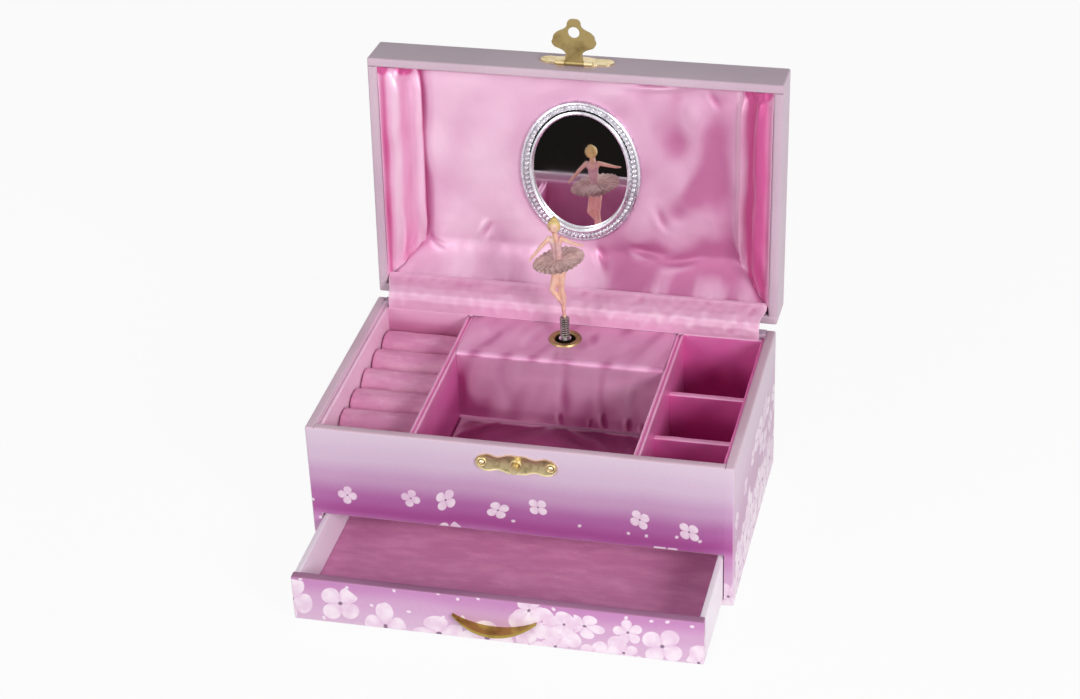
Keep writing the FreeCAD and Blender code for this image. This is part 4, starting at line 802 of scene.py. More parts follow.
def swellPad(low, high):
    bm = bmesh.new()
    addBlock(bm, low * mm, high * mm)
    trial = objectOf(bm, "padBlank")
    addGrain(trial, floorPad["voxel"] * mm)
    trial.data = meshOf(trial)
    trial.modifiers.clear()
    begun = [v.co.copy() for v in trial.data.vertices]
    held = trial.vertex_groups.new(name="held")
    freeAbove = (high.z - 0.6 * floorPad["voxel"]) * mm
    held.add([i for i, p in enumerate(begun) if p.z < freeAbove], 1.0, "REPLACE")
    cloth = trial.modifiers.new("cloth", "CLOTH")
    rules = cloth.settings
    rules.quality = 5
    rules.vertex_group_mass = "held"
    rules.use_pressure = True
    rules.uniform_pressure_force = floorPad["pressure"]
    rules.shrink_min = floorPad["loose"]
    rules.bending_stiffness = floorPad["stiff"]
    rules.effector_weights.gravity = 0
    cloth.collision_settings.use_collision = False
    for step in range(1, floorPad["frames"] + 1):
        scene.frame_set(step)
    swollen = meshOf(trial)
    scene.frame_set(1)
    moves = [v.co - p for v, p in zip(swollen.vertices, begun)]
    share = min(1.0, floorPad["crown"] * mm / max(m.length for m in moves))
    bm = bmesh.new()
    bm.from_mesh(swollen)
    for v, p, move in zip(bm.verts, begun, moves):
        v.co = (p + move * share) / mm
    bpy.data.objects.remove(trial)
    bmesh.ops.subdivide_edges(bm, edges=bm.edges[:], cuts=1, smooth=0.8, use_grid_fill=True)
    return bm


# painted shade: shaded satin copies for the well floors, darker again in their folds
for name, cloth in (("centre_floor", satinFloor), ("right_floor", satinDeep)):
    low, high = nodeBox(name)
    gap = Vector((floorPad["inset"], floorPad["inset"], 0))
    bm = swellPad(low + gap, high - gap - Vector((0, 0, floorPad["start"])))
    pad = finishPiece(bm, name + "Pad", [cloth], "case", (name,), folds=(60, 0.6))

# ring rolls: foam strips under velour
ringRoll = {"count": 6, "gap": 0.5, "crestRound": 7.7, "endRound": 1.4, "sag": 0.35, "slip": 0.05}


def same(a, b):
    return abs(a - b) < 1e-3


bm = bmesh.new()
low, high = nodeBox("ring_rolls")
pitch = (high.y - low.y + ringRoll["gap"]) / ringRoll["count"]
for index in range(ringRoll["count"]):
    strip = bmesh.new()
    start = low.y + index * pitch
    end = start + pitch - ringRoll["gap"]
    slip = ringRoll["slip"]
    addBlock(strip, Vector((low.x, start + slip, low.z)), Vector((high.x, end - slip, high.z)))
    crest = [e for e in strip.edges if all(same(v.co.z, high.z) for v in e.verts)
             and same(e.verts[0].co.y, e.verts[1].co.y)]
    roundOff(strip, crest, ringRoll["crestRound"], 12)
    ends = [e for e in strip.edges if same(e.verts[0].co.x, e.verts[1].co.x)
            and (same(e.verts[0].co.x, low.x) or same(e.verts[0].co.x, high.x))
            and max(v.co.z for v in e.verts) > low.z + 1]
    roundOff(strip, ends, ringRoll["endRound"], 3)
    lengthwise = [e for e in strip.edges if abs(e.verts[0].co.x - e.verts[1].co.x) > 20]
    bmesh.ops.subdivide_edges(strip, edges=lengthwise, cuts=24, use_grid_fill=True)

    def sagAt(p, n):
        return ringRoll["sag"] * (ripple(p.x / 13, p.y / 7, index * 2.3) - 0.35) if n.z > -0.2 else 0.0

    pushOut(strip, sagAt)
    pourInto(bm, strip)
rolls = finishPiece(bm, "ringRolls", [velour], "case", ("ring_rolls",), sharp=60)

# platform cover: one satin cloth over the top and down the front of the music platform
platformCover = {
    "cols": 150, "rows": 130, "lift": 0.2, "bend": 1.4, "edge": 0.58, "crumple": 0.45, "slack": 1.2,
    "gather": 0.7, "hole": 6.0, "inset": 0.15, "back": 0.2, "foot": 0.6, "thick": 0.15, "cut": 0.0915,
    "clear": (6.4, 12.0), "ends": 4,
    "creases": [  # place across and down the cloth, way it runs, half length, half width, depth
        (-13, 17, 104, 16, 5.0, 0.6), (13, 12, 80, 10, 4.0, 0.35), (30, 18, 100, 14, 5.0, 0.35),
        (-32, 12, 70, 10, 5.0, 0.4), (3.5, 46, 91, 19, 4.0, 0.45), (20, 48, 89, 16, 3.6, 0.35),
        (35, 47, 92, 15, 4.0, 0.4), (-22, 50, 84, 12, 6.0, 0.4), (1.4, 61.5, 88, 5, 1.8, 0.9),
        (15, 62.5, 95, 4, 1.4, 0.7), (21, 61, 84, 6, 2.0, 1.0), (32, 61.5, 92, 5.5, 2.0, 1.0),
        (38, 62.5, 92, 4, 1.4, 0.7), (-1, 27, 94, 6, 2.2, 0.6),
    ],
}
low, high = nodeBox("platform_top")
frontY, topZ, backY = low.y, high.z, high.y - platformCover["back"]
coverX = (low.x + platformCover["inset"], high.x - platformCover["inset"])
topLong, frontLong = backY - frontY, topZ - nodeBox("centre_floor")[1].z - platformCover["foot"]


def coverRise(x, run):
    clear = ease(*platformCover["clear"], math.hypot(x, run - (backY - standY)))  # flat round the eyelet
    rise = platformCover["crumple"] * (1 + ripple(x / 12, run / 26, 1.0)) * 0.5
    drop = (run - topLong) / frontLong
    loose = ease(0.02, 0.4, drop) * ease(1.0, 0.8, drop)
    rise += platformCover["slack"] * loose * (0.8 + 0.5 * ripple(x / 17, drop * 2.2, 9.0))
    rise += platformCover["gather"] * ease(0.55, 0.9, drop) * ease(-10, 4, x)
    rise = max(rise - creaseDepth(x, run, platformCover["creases"]), -0.1)
    ends = inFrom(x, platformCover["ends"], platformCover["ends"], *coverX)
    edge = platformCover["edge"] * ease(9, 1.5, abs(run - topLong))  # wadding over the board's edge
    return platformCover["lift"] + edge + rise * clear * ends


def coverSpot(s, t):
    x = lerp(*coverX, s)
    run = t * (topLong + frontLong)
    pull = coverRise(x, run)
    bend = platformCover["bend"]
    if run < topLong - bend:
        return Vector((x, backY - run, topZ + pull))
    if run < topLong + bend:
        a = (run - topLong + bend) / (2 * bend) * math.pi / 2
        out = (bend + pull) * math.sin(a), (bend + pull) * math.cos(a)
        return Vector((x, frontY + bend - out[0], topZ - bend + out[1]))
    return Vector((x, frontY - pull, topZ - (run - topLong)))


# painted shade darker down the front, in the left corner, along the bend and in the creases, with painted
# sheen streaks
def coverPaintedShade(p):
    onTop = p.z > topZ - 1.5
    run = backY - p.y if onTop else topLong + topZ - p.z
    drop = max(0.0, (run - topLong) / frontLong)
    deep = 0.55 * ease(0.35, 1.0, drop) + 0.9 * ease(-34, -44, p.x) * ease(0.1, 0.5, drop)
    deep += 0.4 * ease(2.4, 0.4, abs(run - topLong)) * (0.6 + 0.8 * ripple(p.x / 9, 2.0, 7.0))
    streak = ripple(p.x / 7.5 + run / 22, run / 42, 3.0) * (0.9 if onTop else 0.45)  # painted sheen: light and dark streaks, stronger on the top
    creased = 0.8 * creaseDepth(p.x, run, platformCover["creases"])
    return deep + creased + 0.4 * ripple(p.x / 16, run / 14, 4.0) + streak


bm = clothGrid(platformCover, coverSpot)
eyelet = Vector((0, standY, topZ))
hole = [f for f in bm.faces if (f.calc_center_median() - eyelet).length < platformCover["hole"]]
bmesh.ops.delete(bm, geom=hole, context="FACES")
backCloth(bm, platformCover, Vector((0, -1, 1)))
cover = finishPiece(bm, "platformCover", [satinTray], "case", (), sharp=60, folds=coverPaintedShade)
print("tray dressed")

# lid ceiling: loose satin over wadding, sloping to the rim at the front and at the hinge
ceilingSatin = {
    "cols": 210, "rows": 150, "front": (-108.2, 5.5), "hinge": (-7.4, 17.0), "rim": 2.2, "half": (85.6, 71.6),
    "deck": 16.0, "puff": 0.5, "billow": 0.8, "streak": 0.8, "wrinkle": 0.16, "seam": 0.4, "curve": 1.8,
    "frontCurve": 1.2, "clouds": 0.55, "thick": 0.8,
    "creases": [  # place, way it runs, half length, half width, depth
        (-43, -29, 116, 6, 2.4, 1.3), (-66, -21, 30, 6, 1.8, 0.8), (9, -21, 70, 10, 3.0, 1.0),
        (28, -24, 12, 9, 3.6, 1.1), (45, -21, -12, 12, 3.2, 0.9), (40, -104, -8, 26, 2.6, 1.3),
        (58, -98, 60, 8, 2.8, 0.4), (36, -40, 66, 9, 3.6, 0.6),
    ],
    "hollows": [  # wide soft dips: place, half width, half length, depth
        (59, -62, 8, 27, 1.1), (43, -75, 6, 12, 0.6), (57, -98, 13, 4, 0.5), (62, -24, 12, 7, 1.2),
        (33, -25, 12, 6, 0.9), (13, -25, 9, 7, 0.7), (-2, -101, 22, 4, 0.4), (43, -43, 4, 6, 0.6),
        (-6, -24, 5, 10, -0.5), (50, -84, 5, 12, -0.5),
    ],
    "shades": [  # painted shade (above 0) or painted light (below 0), coming on from the first x and y to the second
        (-0.5, (45, -10), None), (0.25, (-5, 20), (-45, -15)), (1.3, (-64.0, -70.0), (-12, -30)),
        (-0.9, (66.5, 69.5), (-12, -30)), (0.3, None, (-29, -20)), (0.5, None, (-103, -107.5)),
        (0.7, None, (-10.5, -8.0)),
    ],
    "mitre": (0.9, 3.0, (-27, -22)), "foldDeep": 1.25,  # painted shade along the mitres, where the cloth is tucked in
}
mirrorLow, mirrorHigh = lidBox("mirror_frame")
mirrorV = (mirrorLow.y + mirrorHigh.y) / 2


def ceilingRise(x, v):
    right = ease(-10, 45, x)
    rise = ceilingSatin["puff"] + ceilingSatin["billow"] * ripple(x / 27 + 3, v / 22, 1.3)
    rise += ceilingSatin["streak"] * ripple(x / 11, v / 26, 2.1) * (0.45 + 0.55 * right)
    rise += ceilingSatin["wrinkle"] * ripple(x / 4.5, v / 7, 5.7) * (0.3 + 0.7 * ease(-60, -20, v))
    rise += ceilingSatin["seam"] * ease(-18, -8, v) * ripple(x / 2.6, v / 7, 6.0) * (0.5 + 0.5 * right)
    for cx, cv, wide, long, deep in ceilingSatin["hollows"]:
        rise -= deep * math.exp(-((x - cx) / wide) ** 2 - ((v - cv) / long) ** 2)
    ring = math.hypot(x / 26.5, (v - mirrorV) / 32.5)
    return (rise - creaseDepth(x, v, ceilingSatin["creases"])) * ease(0.97, 1.35, ring)


def ceilingSpot(s, t):
    start, frontRun = ceilingSatin["front"]
    end, hingeRun = ceilingSatin["hinge"]
    v = lerp(start, end, t)
    atFront = max(0.0, 1 - (v - start) / frontRun)
    atHinge = max(0.0, 1 - (end - v) / hingeRun)
    down = max(atFront, atHinge)
    x = lerp(-1, 1, s) * lerp(ceilingSatin["half"][1], ceilingSatin["half"][0], down)
    curve = ceilingSatin["curve"] if atHinge else ceilingSatin["frontCurve"]
    w = lerp(ceilingSatin["deck"], ceilingSatin["rim"], down ** curve)
    free = ease(0, 0.04, t) * ease(1.0, 0.985, t) * ease(1.0, 0.96, abs(2 * s - 1))
    lean = min(1.0, 1.4 * atHinge) - min(1.0, 1.4 * atFront)
    way = Vector((0, -lean, -1)).normalized()
    return Vector((x, v, w)) + way * ceilingRise(x, v) * free


# painted shade and light: soft random clouds, the table's gradients, the mitres, and darker where the cloth
# dips below its puff
def ceilingPaintedShade(p):
    shade = ceilingSatin["clouds"] * ripple(p.x / 15 + p.y / 40, p.y / 21, 12.0)
    for much, across, along in ceilingSatin["shades"]:
        shade += much * (ease(*across, p.x) if across else 1) * (ease(*along, p.y) if along else 1)
    half, end, hingeRun = ceilingSatin["half"], *ceilingSatin["hinge"]
    off = abs(p.x) - lerp(half[1], half[0], 1 - (end - p.y) / hingeRun)
    much, wide, along = ceilingSatin["mitre"]
    mitre = much * math.exp(-(off / wide) ** 2) * ease(*along, p.y)
    return (ceilingSatin["puff"] - ceilingRise(p.x, p.y)) / ceilingSatin["foldDeep"] + shade + mitre


bm = clothGrid(ceilingSatin, ceilingSpot)
backCloth(bm, ceilingSatin, Vector((0, 0, -1)))
ceiling = finishPiece(bm, "ceilingSatin", [satinCeiling], "lid", ("lid_lining",), place=lidPlace,
                      sharp=80, folds=ceilingPaintedShade)

# lid side bands: satin rolls with two long crests, mitred and gathered at both ends
sideBand = {
    "cols": 56, "rows": 150, "front": (-108.2, -102.9), "hinge": (-7.8, -23.4), "crown": 0.8, "over": 1.5,
    "crests": [(0.32, 0.16, 2.7), (0.87, 0.085, 2.6)], "groove": (0.1, 0.05, 1.1), "lip": (0.02, 0.03, 0.5),
    "foot": 0.4, "head": 0.25, "tuck": 1.2, "thick": 0.5, "ends": 0.12,
    "shades": {  # where across the band there is painted shade (above 0) or painted highlight (below 0), how wide, how much
        -1: [(0.12, 0.06, 0.7), (0.30, 0.12, -1.0), (0.58, 0.13, 0.2), (0.84, 0.08, -1.0), (0.99, 0.05, 1.3)],
        1: [(0.02, 0.06, -0.9), (0.25, 0.16, 0.95), (0.46, 0.05, 0.45), (0.64, 0.14, 1.1), (0.9, 0.06, -1.0)],
    },
}


def bandBump(s, spec):
    return spec[2] * math.exp(-((s - spec[0]) / spec[1]) ** 2)


def bandSway(v, side):
    return 0.07 * ripple(v / 26, side * 3.0, 2.0) + 0.03 * ripple(v / 9, side * 5.0, 7.0)


for side, name in ((-1, "lid_band_left"), (1, "lid_band_right")):
    low, high = lidBox(name)
    over = sideBand["over"]
    wallX, innerX = (low.x, high.x + over) if side < 0 else (high.x, low.x - over)
    footZ, headZ = low.z - sideBand["foot"], high.z + sideBand["head"]

    def bandSpot(s, t):
        v = lerp(lerp(*sideBand["front"], s), lerp(*sideBand["hinge"], s), t)
        ends = inFrom(t, sideBand["ends"], sideBand["ends"])
        middle = math.sin(math.pi * s)
        drift = s + bandSway(v, side) * middle
        out = sum(bandBump(drift, crest) for crest in sideBand["crests"]) * (0.3 + 0.7 * ends)
        out += (bandBump(drift, sideBand["lip"]) - bandBump(drift, sideBand["groove"])) * ends
        pucker = 0.5 * ripple(s * 4, v / 15, side * 9.0) + (1 - ends) * ripple(s * 8, v / 4, side * 4.0)
        out += (sideBand["crown"] + pucker) * middle
        curved = headZ - (headZ - footZ) * (1 - s) ** ceilingSatin["curve"]
        w = lerp(lerp(footZ, headZ, s), curved, ease(0.8, 1.0, t))
        push = max(out * ease(1.0, 0.95, s), -0.5)
        return Vector((lerp(wallX, innerX, s), v, w)) + Vector((-side * 0.71, 0, -0.71)) * push

    # painted shade and highlight from the shades table, with random tone and a dark tuck at the front end
    def bandPaintedShade(p):
        s = ((p.x - wallX) / (innerX - wallX) + (p.z - footZ) / (headZ - footZ)) / 2
        s += bandSway(p.y, side) * math.sin(math.pi * s)
        tuck = sideBand["tuck"] * ease(4.5, 0.5, p.y - lerp(*sideBand["front"], s))
        shade = sum(bandBump(s, spec) for spec in sideBand["shades"][side])
        return shade + 0.35 * ripple(s * 5, p.y / 20, side * 2.0) + tuck

    bm = clothGrid(sideBand, bandSpot)
    backCloth(bm, sideBand, Vector((0, 0, -1)))
    band = finishPiece(bm, name + "Satin", [satinPink], "lid", (name,), place=lidPlace, sharp=80,
                       folds=bandPaintedShade)

# hinge satin: crumpled strip that bends between case and lid
hingeSatin = {
    "cols": 260, "rows": 48, "pucker": 0.75, "wide": 83.4, "flare": 1.9, "lip": 0.3, "thick": 0.3,
    "heldUp": (0.12, 0.07), "heldAcross": (0.01, 0.01),
    "path": [(49.4, 66.1), (49.3, 71.2), (50.4, 73.8), (53.4, 75.5), (57.8, 76.6), (61.0, 78.1)],  # y, z
}
hingePath = [Vector(p) for p in hingeSatin["path"]]
hingeRuns = [(b - a).length for a, b in zip(hingePath, hingePath[1:])]


def hingeSpot(s, t):
    half = hingeSatin["wide"] + hingeSatin["flare"] * ease(0.45, 0.85, t)
    x, run = lerp(-half, half, s), t * sum(hingeRuns)
    held = inFrom(t, *hingeSatin["heldUp"]) * inFrom(s, *hingeSatin["heldAcross"])
    right = 0.55 + 0.45 * ease(-10, 60, x)
    pucker = (ridge(x / 6.5, run / 8, 3.0) + ripple(x / 3.2, run / 4.5, 5.0)) * 0.55
    pucker += ripple(x / 15, run / 12, 8.0) * 0.5
    push = hingeSatin["pucker"] * held * right * pucker + hingeSatin["lip"] * ease(0.9, 0.95, t)
    for (a, b), long in zip(zip(hingePath, hingePath[1:]), hingeRuns):
        if run <= long + 1e-6:
            spot = a.lerp(b, run / long)
            out = Vector((-(b - a).y, (b - a).x)).normalized()
            return Vector((x, spot.x + out.x * push, spot.y + out.y * push))
        run -= long
    return Vector((x, hingePath[-1].x, hingePath[-1].y + hingeSatin["lip"]))


bm = clothGrid(hingeSatin, hingeSpot)
inner = [v for v in bm.verts if not v.is_boundary]
for _ in range(2):
    bmesh.ops.smooth_vert(bm, verts=inner, factor=0.4, use_axis_x=True, use_axis_y=True, use_axis_z=True)
backCloth(bm, hingeSatin, Vector((0, -1, 1)))
# painted shade in the puckers, painted highlight on their crests
hinge = finishPiece(bm, "hingeSatin", [satinStrip], None, ("hinge_cloth",), sharp=80,
                    folds=(60, 0.65))
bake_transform(hinge)
print("lid dressed")

# mirror: oval glass set a little out of true, and its beaded rim
mirrorPane = {"lean": math.radians(1.9), "thick": 1.0, "set": 0.15}
bm = bmesh.new()
low, high = lidBox("mirror_glass")
ring = bmesh.ops.create_circle(bm, cap_ends=True, segments=96, radius=1)["verts"]
bmesh.ops.scale(bm, vec=((high.x - low.x) / 2, (high.y - low.y) / 2, 1), verts=ring)
solid = bmesh.ops.extrude_face_region(bm, geom=bm.faces[:])["geom"]
bmesh.ops.translate(bm, vec=(0, 0, mirrorPane["thick"]), verts=vertsOf(solid))
bmesh.ops.rotate(bm, cent=(0, 0, 0), matrix=Matrix.Rotation(mirrorPane["lean"], 3, "X"), verts=bm.verts)
bmesh.ops.translate(bm, vec=(0, mirrorV, low.z - mirrorPane["set"]), verts=bm.verts)
finishPiece(bm, "mirrorPane", [glass], "lid", ("mirror_glass",), place=lidPlace)
mirrorRim = {
    "halfWide": 27.0, "halfHigh": 33.0, "back": 16.05, "beads": 84, "bead": 0.95, "beadAt": (2.9, 1.7),
    "rings": [  # way in from the rim's edge, height
        (0.0, 0.0), (0.0, 1.3), (0.5, 1.9), (1.2, 2.1), (1.6, 1.6), (4.2, 1.6), (4.5, 2.6), (5.2, 2.9),
        (5.9, 2.4), (6.0, 1.2), (5.6, 0.4),
    ],
}
bm = bmesh.new()
centre = Vector((0, mirrorV, mirrorRim["back"]))
loops = []
for inset, rise in mirrorRim["rings"]:
    ring = bmesh.ops.create_circle(bm, segments=128, radius=1)["verts"]
    bmesh.ops.scale(bm, vec=(mirrorRim["halfWide"] - inset, mirrorRim["halfHigh"] - inset, 1), verts=ring)
    bmesh.ops.translate(bm, vec=centre - Vector((0, 0, rise)), verts=ring)
    loops.append(ringEdges(ring))
for first, second in zip(loops, loops[1:]):
    bmesh.ops.bridge_loops(bm, edges=first + second)
for index in range(mirrorRim["beads"]):
    a = index / mirrorRim["beads"] * math.tau
    inset, rise = mirrorRim["beadAt"]
    across, up = (mirrorRim["halfWide"] - inset) * math.cos(a), (mirrorRim["halfHigh"] - inset) * math.sin(a)
    place = Matrix.Translation(centre + Vector((across, up, -rise)))
    bmesh.ops.create_icosphere(bm, subdivisions=1, radius=mirrorRim["bead"], matrix=place)
finishPiece(bm, "mirrorRim", [silver], "lid", ("mirror_frame",), place=lidPlace, sharp=40)


# stamped brass: an outline is given for its right half and mirrored
def addStamped(bm, half, thick, corner, holes=(), edge=0.25):
    flat = bmesh.new()
    right = [flat.verts.new((x, y, 0)) for x, y in half]
    left = [flat.verts.new((-x, y, 0)) for x, y in reversed(half) if x > 1e-6]
    ring = right + left
    for a, b in zip(ring, ring[1:] + ring[:1]):
        flat.edges.new((a, b))
    roundOff(flat, flat.verts[:], corner, 4, "VERTICES")
    for x, y, radius in holes:
        bmesh.ops.create_circle(flat, segments=24, radius=radius, matrix=Matrix.Translation((x, y, 0)))
    bmesh.ops.triangle_fill(flat, edges=flat.edges[:], use_beauty=True)
    for face in flat.faces:
        if face.normal.z < 0:
            face.normal_flip()
    raised = bmesh.ops.extrude_face_region(flat, geom=flat.faces[:])["geom"]
    bmesh.ops.translate(flat, vec=(0, 0, thick), verts=vertsOf(raised))
    flat.normal_update()
    topRim = [e for e in flat.edges if len(e.link_faces) == 2 and e.calc_face_angle(0) > 0.8
              and all(abs(v.co.z - thick) < 1e-5 for v in e.verts)]
    roundOff(flat, topRim, edge, 2)
    bmesh.ops.recalc_face_normals(flat, faces=flat.faces)
    pourInto(bm, flat)


catchPlate = {
    "half": [(0, -4.3), (3.6, -4.5), (6.2, -3.4), (8.6, -3.0), (11.0, -4.0), (14.0, -3.9), (16.4, -2.4),
             (17.5, 0), (16.4, 2.4), (14.0, 3.9), (11.0, 4.0), (8.6, 3.0), (6.2, 3.4), (3.6, 4.5), (0, 4.3)],
    "thick": 0.8, "round": 1.2, "centre": Vector((0, -55.5, 60.1)), "border": 0.7, "pressed": 0.3,
    "collars": [(-14.5, 1.75, 0.4), (0, 2.05, 0.4), (14.5, 1.75, 0.4)],  # place, reach, wire
    "pressedPast": -56.1,
}
upright = Matrix.Rotation(math.radians(90), 4, "X")
bm = bmesh.new()
addStamped(bm, catchPlate["half"], catchPlate["thick"], catchPlate["round"])
bm.normal_update()
field = [f for f in bm.faces if f.normal.z > 0.99 and f.calc_center_median().z > catchPlate["thick"] - 0.05]
bmesh.ops.inset_region(bm, faces=field, thickness=catchPlate["border"], depth=-catchPlate["pressed"],
                       use_even_offset=True)
for across, reach, wire in catchPlate["collars"]:
    collar = Matrix.Translation((across + reach, 0, catchPlate["thick"] - 0.2))
    ring = bmesh.ops.create_circle(bm, segments=10, radius=wire, matrix=collar @ upright)["verts"]
    bmesh.ops.spin(bm, geom=ringEdges(ring), cent=(across, 0, 0), axis=(0, 0, 1), angle=math.tau, steps=28,
                   use_merge=True, use_duplicate=False)
finishPiece(bm, "catchPlate", [brass, pressedBrass], "case", ("catch_plate",),
            place=Matrix.Translation(catchPlate["centre"]) @ upright,
            paint=lambda spot, normal: 1 if normal.y < -0.9 and spot.y > catchPlate["pressedPast"] else 0)

haspPlate = {
    "half": [(0, 1.5), (8.0, 1.5), (9.6, 2.6), (12.6, 2.4), (15.0, 3.6), (16.3, 6.0), (15.0, 8.4),
             (12.6, 9.6), (9.6, 9.0), (6.4, 9.6), (3.4, 10.5), (0, 10.5)],
    "thick": 0.8, "round": 1.0, "knuckle": 1.2, "knuckles": ((-4.3, -8.0), (4.3, 8.0)), "tab": (0.1, 2.2),
    "pin": Vector((0, -114.2, 5.35)), "back": -112.5,
}
bm = bmesh.new()
pin = haspPlate["pin"]
addStamped(bm, haspPlate["half"], haspPlate["thick"], haspPlate["round"])
wall, tab = haspPlate["back"], haspPlate["tab"]
bmesh.ops.transform(bm, matrix=Matrix.Translation((0, wall, pin.z)) @ upright, verts=bm.verts)
for near, far in haspPlate["knuckles"]:
    addTube(bm, pin + Vector((near, 0, 0)), pin + Vector((far, 0, 0)), haspPlate["knuckle"])
    inner = Vector((min(near, far), wall - haspPlate["thick"], pin.z + tab[0]))
    addBlock(bm, inner, Vector((max(near, far), wall, pin.z + tab[1])))
finishPiece(bm, "haspPlate", [brass], "lid", ("hasp_plate",), place=lidPlace)

haspFlap = {
    "half": [(0, 0.6), (4.0, 0.6), (3.7, -2.6), (3.5, -4.6), (5.2, -6.0), (8.6, -7.2), (9.8, -9.2),
             (9.0, -10.8), (8.9, -12.2), (7.2, -13.8), (4.2, -15.2), (3.0, -16.4), (2.9, -18.2), (1.8, -19.5),
             (0, -19.6)],
    "thick": 0.9, "round": 0.7, "edge": 0.2, "hole": (0, -13.7, 2.5), "roll": 1.15,
    "rollHalf": Vector((4, 0, 0)),
}
bm = bmesh.new()
addStamped(bm, haspFlap["half"], haspFlap["thick"], haspFlap["round"], [haspFlap["hole"]], haspFlap["edge"])
bmesh.ops.translate(bm, vec=pin - Vector((0, 0, haspFlap["thick"] / 2)), verts=bm.verts)
addTube(bm, pin - haspFlap["rollHalf"], pin + haspFlap["rollHalf"], haspFlap["roll"])
finishPiece(bm, "haspFlap", [agedBrass], "hasp", ("hasp_flap",), place=lidPlace)
print("metalwork stamped")

# spring under the dancer: wound wire
springWire = {"coil": 1.85, "wire": 0.325, "pitch": 1.1, "turns": 9, "steps": 28, "low": 67.05, "core": 1.25,
              "coreSpan": (66.5, 77.2)}
foot = Vector((0, standY, springWire["low"]))
steps = springWire["steps"]
bm = bmesh.new()
place = Matrix.Translation(foot + Vector((springWire["coil"], 0, 0))) @ upright
bmesh.ops.create_circle(bm, segments=10, radius=springWire["wire"], matrix=place)
bmesh.ops.spin(bm, geom=bm.edges[:], cent=foot, axis=(0, 0, 1), dvec=(0, 0, springWire["pitch"] / steps),
               angle=math.tau * springWire["turns"], steps=springWire["turns"] * steps, use_merge=False,
               use_duplicate=False)
bmesh.ops.holes_fill(bm, edges=[e for e in bm.edges if e.is_boundary], sides=12)
addTube(bm, *(Vector((0, standY, z)) for z in springWire["coreSpan"]), springWire["core"], 20)
spring = finishPiece(bm, "standSpring", [springSteel], None, ("stand_spring",))
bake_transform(spring)

# dancer: limbs of overlapping balls melted into one skin, then head, hair and face
dancer = {
    "foot": Vector((0, standY, 77.4)), "lean": math.radians(-4.5),
    "hips": (0, 0, 24.2, 2.6, 2.1), "chest": (0, -0.1, 35.8, 2.5, 1.95),
    "limbs": {  # x, y, z from the standing toe, then the two radii; a name stands for its spot
        "leg": [(0, 0, 0.2, 0.7, 0.7), (0, 0.1, 4.4, 0.95, 1.0), (0.15, 0.45, 8.8, 1.6, 1.7),
                (0, 0, 13.0, 1.35, 1.4), (0.4, 0, 17.5, 1.85, 1.9), (0.9, 0, 21.3, 2.05, 2.1), "hips"],
        "back": ["hips", (0, 0, 28.4, 1.75, 1.45), (0, 0, 32.2, 2.2, 1.7), "chest", (0, 0, 38.9, 1.25, 1.15),
                 (0, -0.1, 40.9, 0.95, 1.0)],
        "raisedLeg": ["hips", (-1.2, -0.3, 21.0, 2.05, 2.1), (-3.6, -1.4, 13.8, 1.4, 1.4),
                      (-1.2, -1.9, 9.8, 1.05, 1.05), (0.3, -1.7, 6.6, 0.65, 0.65)],
        "leftArm": ["chest", (-2.8, 0, 38.0, 1.05, 1.05), (-7.0, -1.1, 33.8, 0.85, 0.85),
                    (-10.6, -1.4, 29.6, 0.62, 0.62), (-12.3, -1.5, 27.8, 0.5, 0.38)],
        "rightArm": ["chest", (2.8, 0, 38.0, 1.05, 1.05), (6.8, -1.1, 36.6, 0.85, 0.85),
                     (10.4, -1.4, 35.6, 0.62, 0.62), (12.4, -1.5, 35.5, 0.5, 0.38)],
    },
    "dress": {"hem": 22.5, "front": 37.2, "dip": 1.4, "dipHalf": 2.6, "back": 36.0, "half": 2.95},
    "strap": {"inner": 1.5, "outer": 2.2, "top": 39.6},
    "shoe": {"standing": 3.4, "raised": 9.2, "past": -1.2},
    "step": 0.4, "melt": 0.22, "evenings": 7, "head": Vector((0, -0.2, 43.5)), "skull": 2.55,
}
bm = bmesh.new()
for limb in dancer["limbs"].values():
    spots = [dancer[spot] if isinstance(spot, str) else spot for spot in limb]
    for one, two in zip(spots, spots[1:]):
        count = math.ceil((Vector(two[:3]) - Vector(one[:3])).length / dancer["step"])
        for index in range(count + 1):
            x, y, z, wide, deep = (lerp(p, q, index / count) for p, q in zip(one, two))
            ball = Matrix.Translation((x, y, z)) @ Matrix.Diagonal((wide, deep, (wide + deep) / 2, 1))
            bmesh.ops.create_icosphere(bm, subdivisions=3, radius=1, matrix=ball)
rig = objectOf(bm, "balls")
addGrain(rig, dancer["melt"])
even = rig.modifiers.new("even", "SMOOTH")
even.factor, even.iterations = 0.5, dancer["evenings"]
flesh = meshOf(rig)
bpy.data.objects.remove(rig)
bm = bmesh.new()
bm.from_mesh(flesh)
bpy.data.meshes.remove(flesh)
bodyFaces = len(bm.faces)
addTube(bm, Vector((0, 0, -2.2)), Vector((0, 0, 1.2)), 1.2, 20, 0.6)  # peg in the spring
headFrom = len(bm.verts)
skull = bmesh.ops.create_uvsphere(bm, u_segments=28, v_segments=20, radius=1)["verts"]
for v in skull:
    chin = ease(0.4, -1.0, v.co.z)
    v.co = v.co * Vector((lerp(0.9, 0.66, chin), lerp(1.0, 0.86, chin), lerp(1.06, 1.16, chin)))
    v.co.y -= 0.08 * chin
addBall(bm, 0.13, (0.8, 1.0, 1.3), (0, -0.97, -0.17))  # nose
noseFaces = len(bm.faces)
cap = bmesh.ops.create_uvsphere(bm, u_segments=40, v_segments=28, radius=1.1)["verts"]
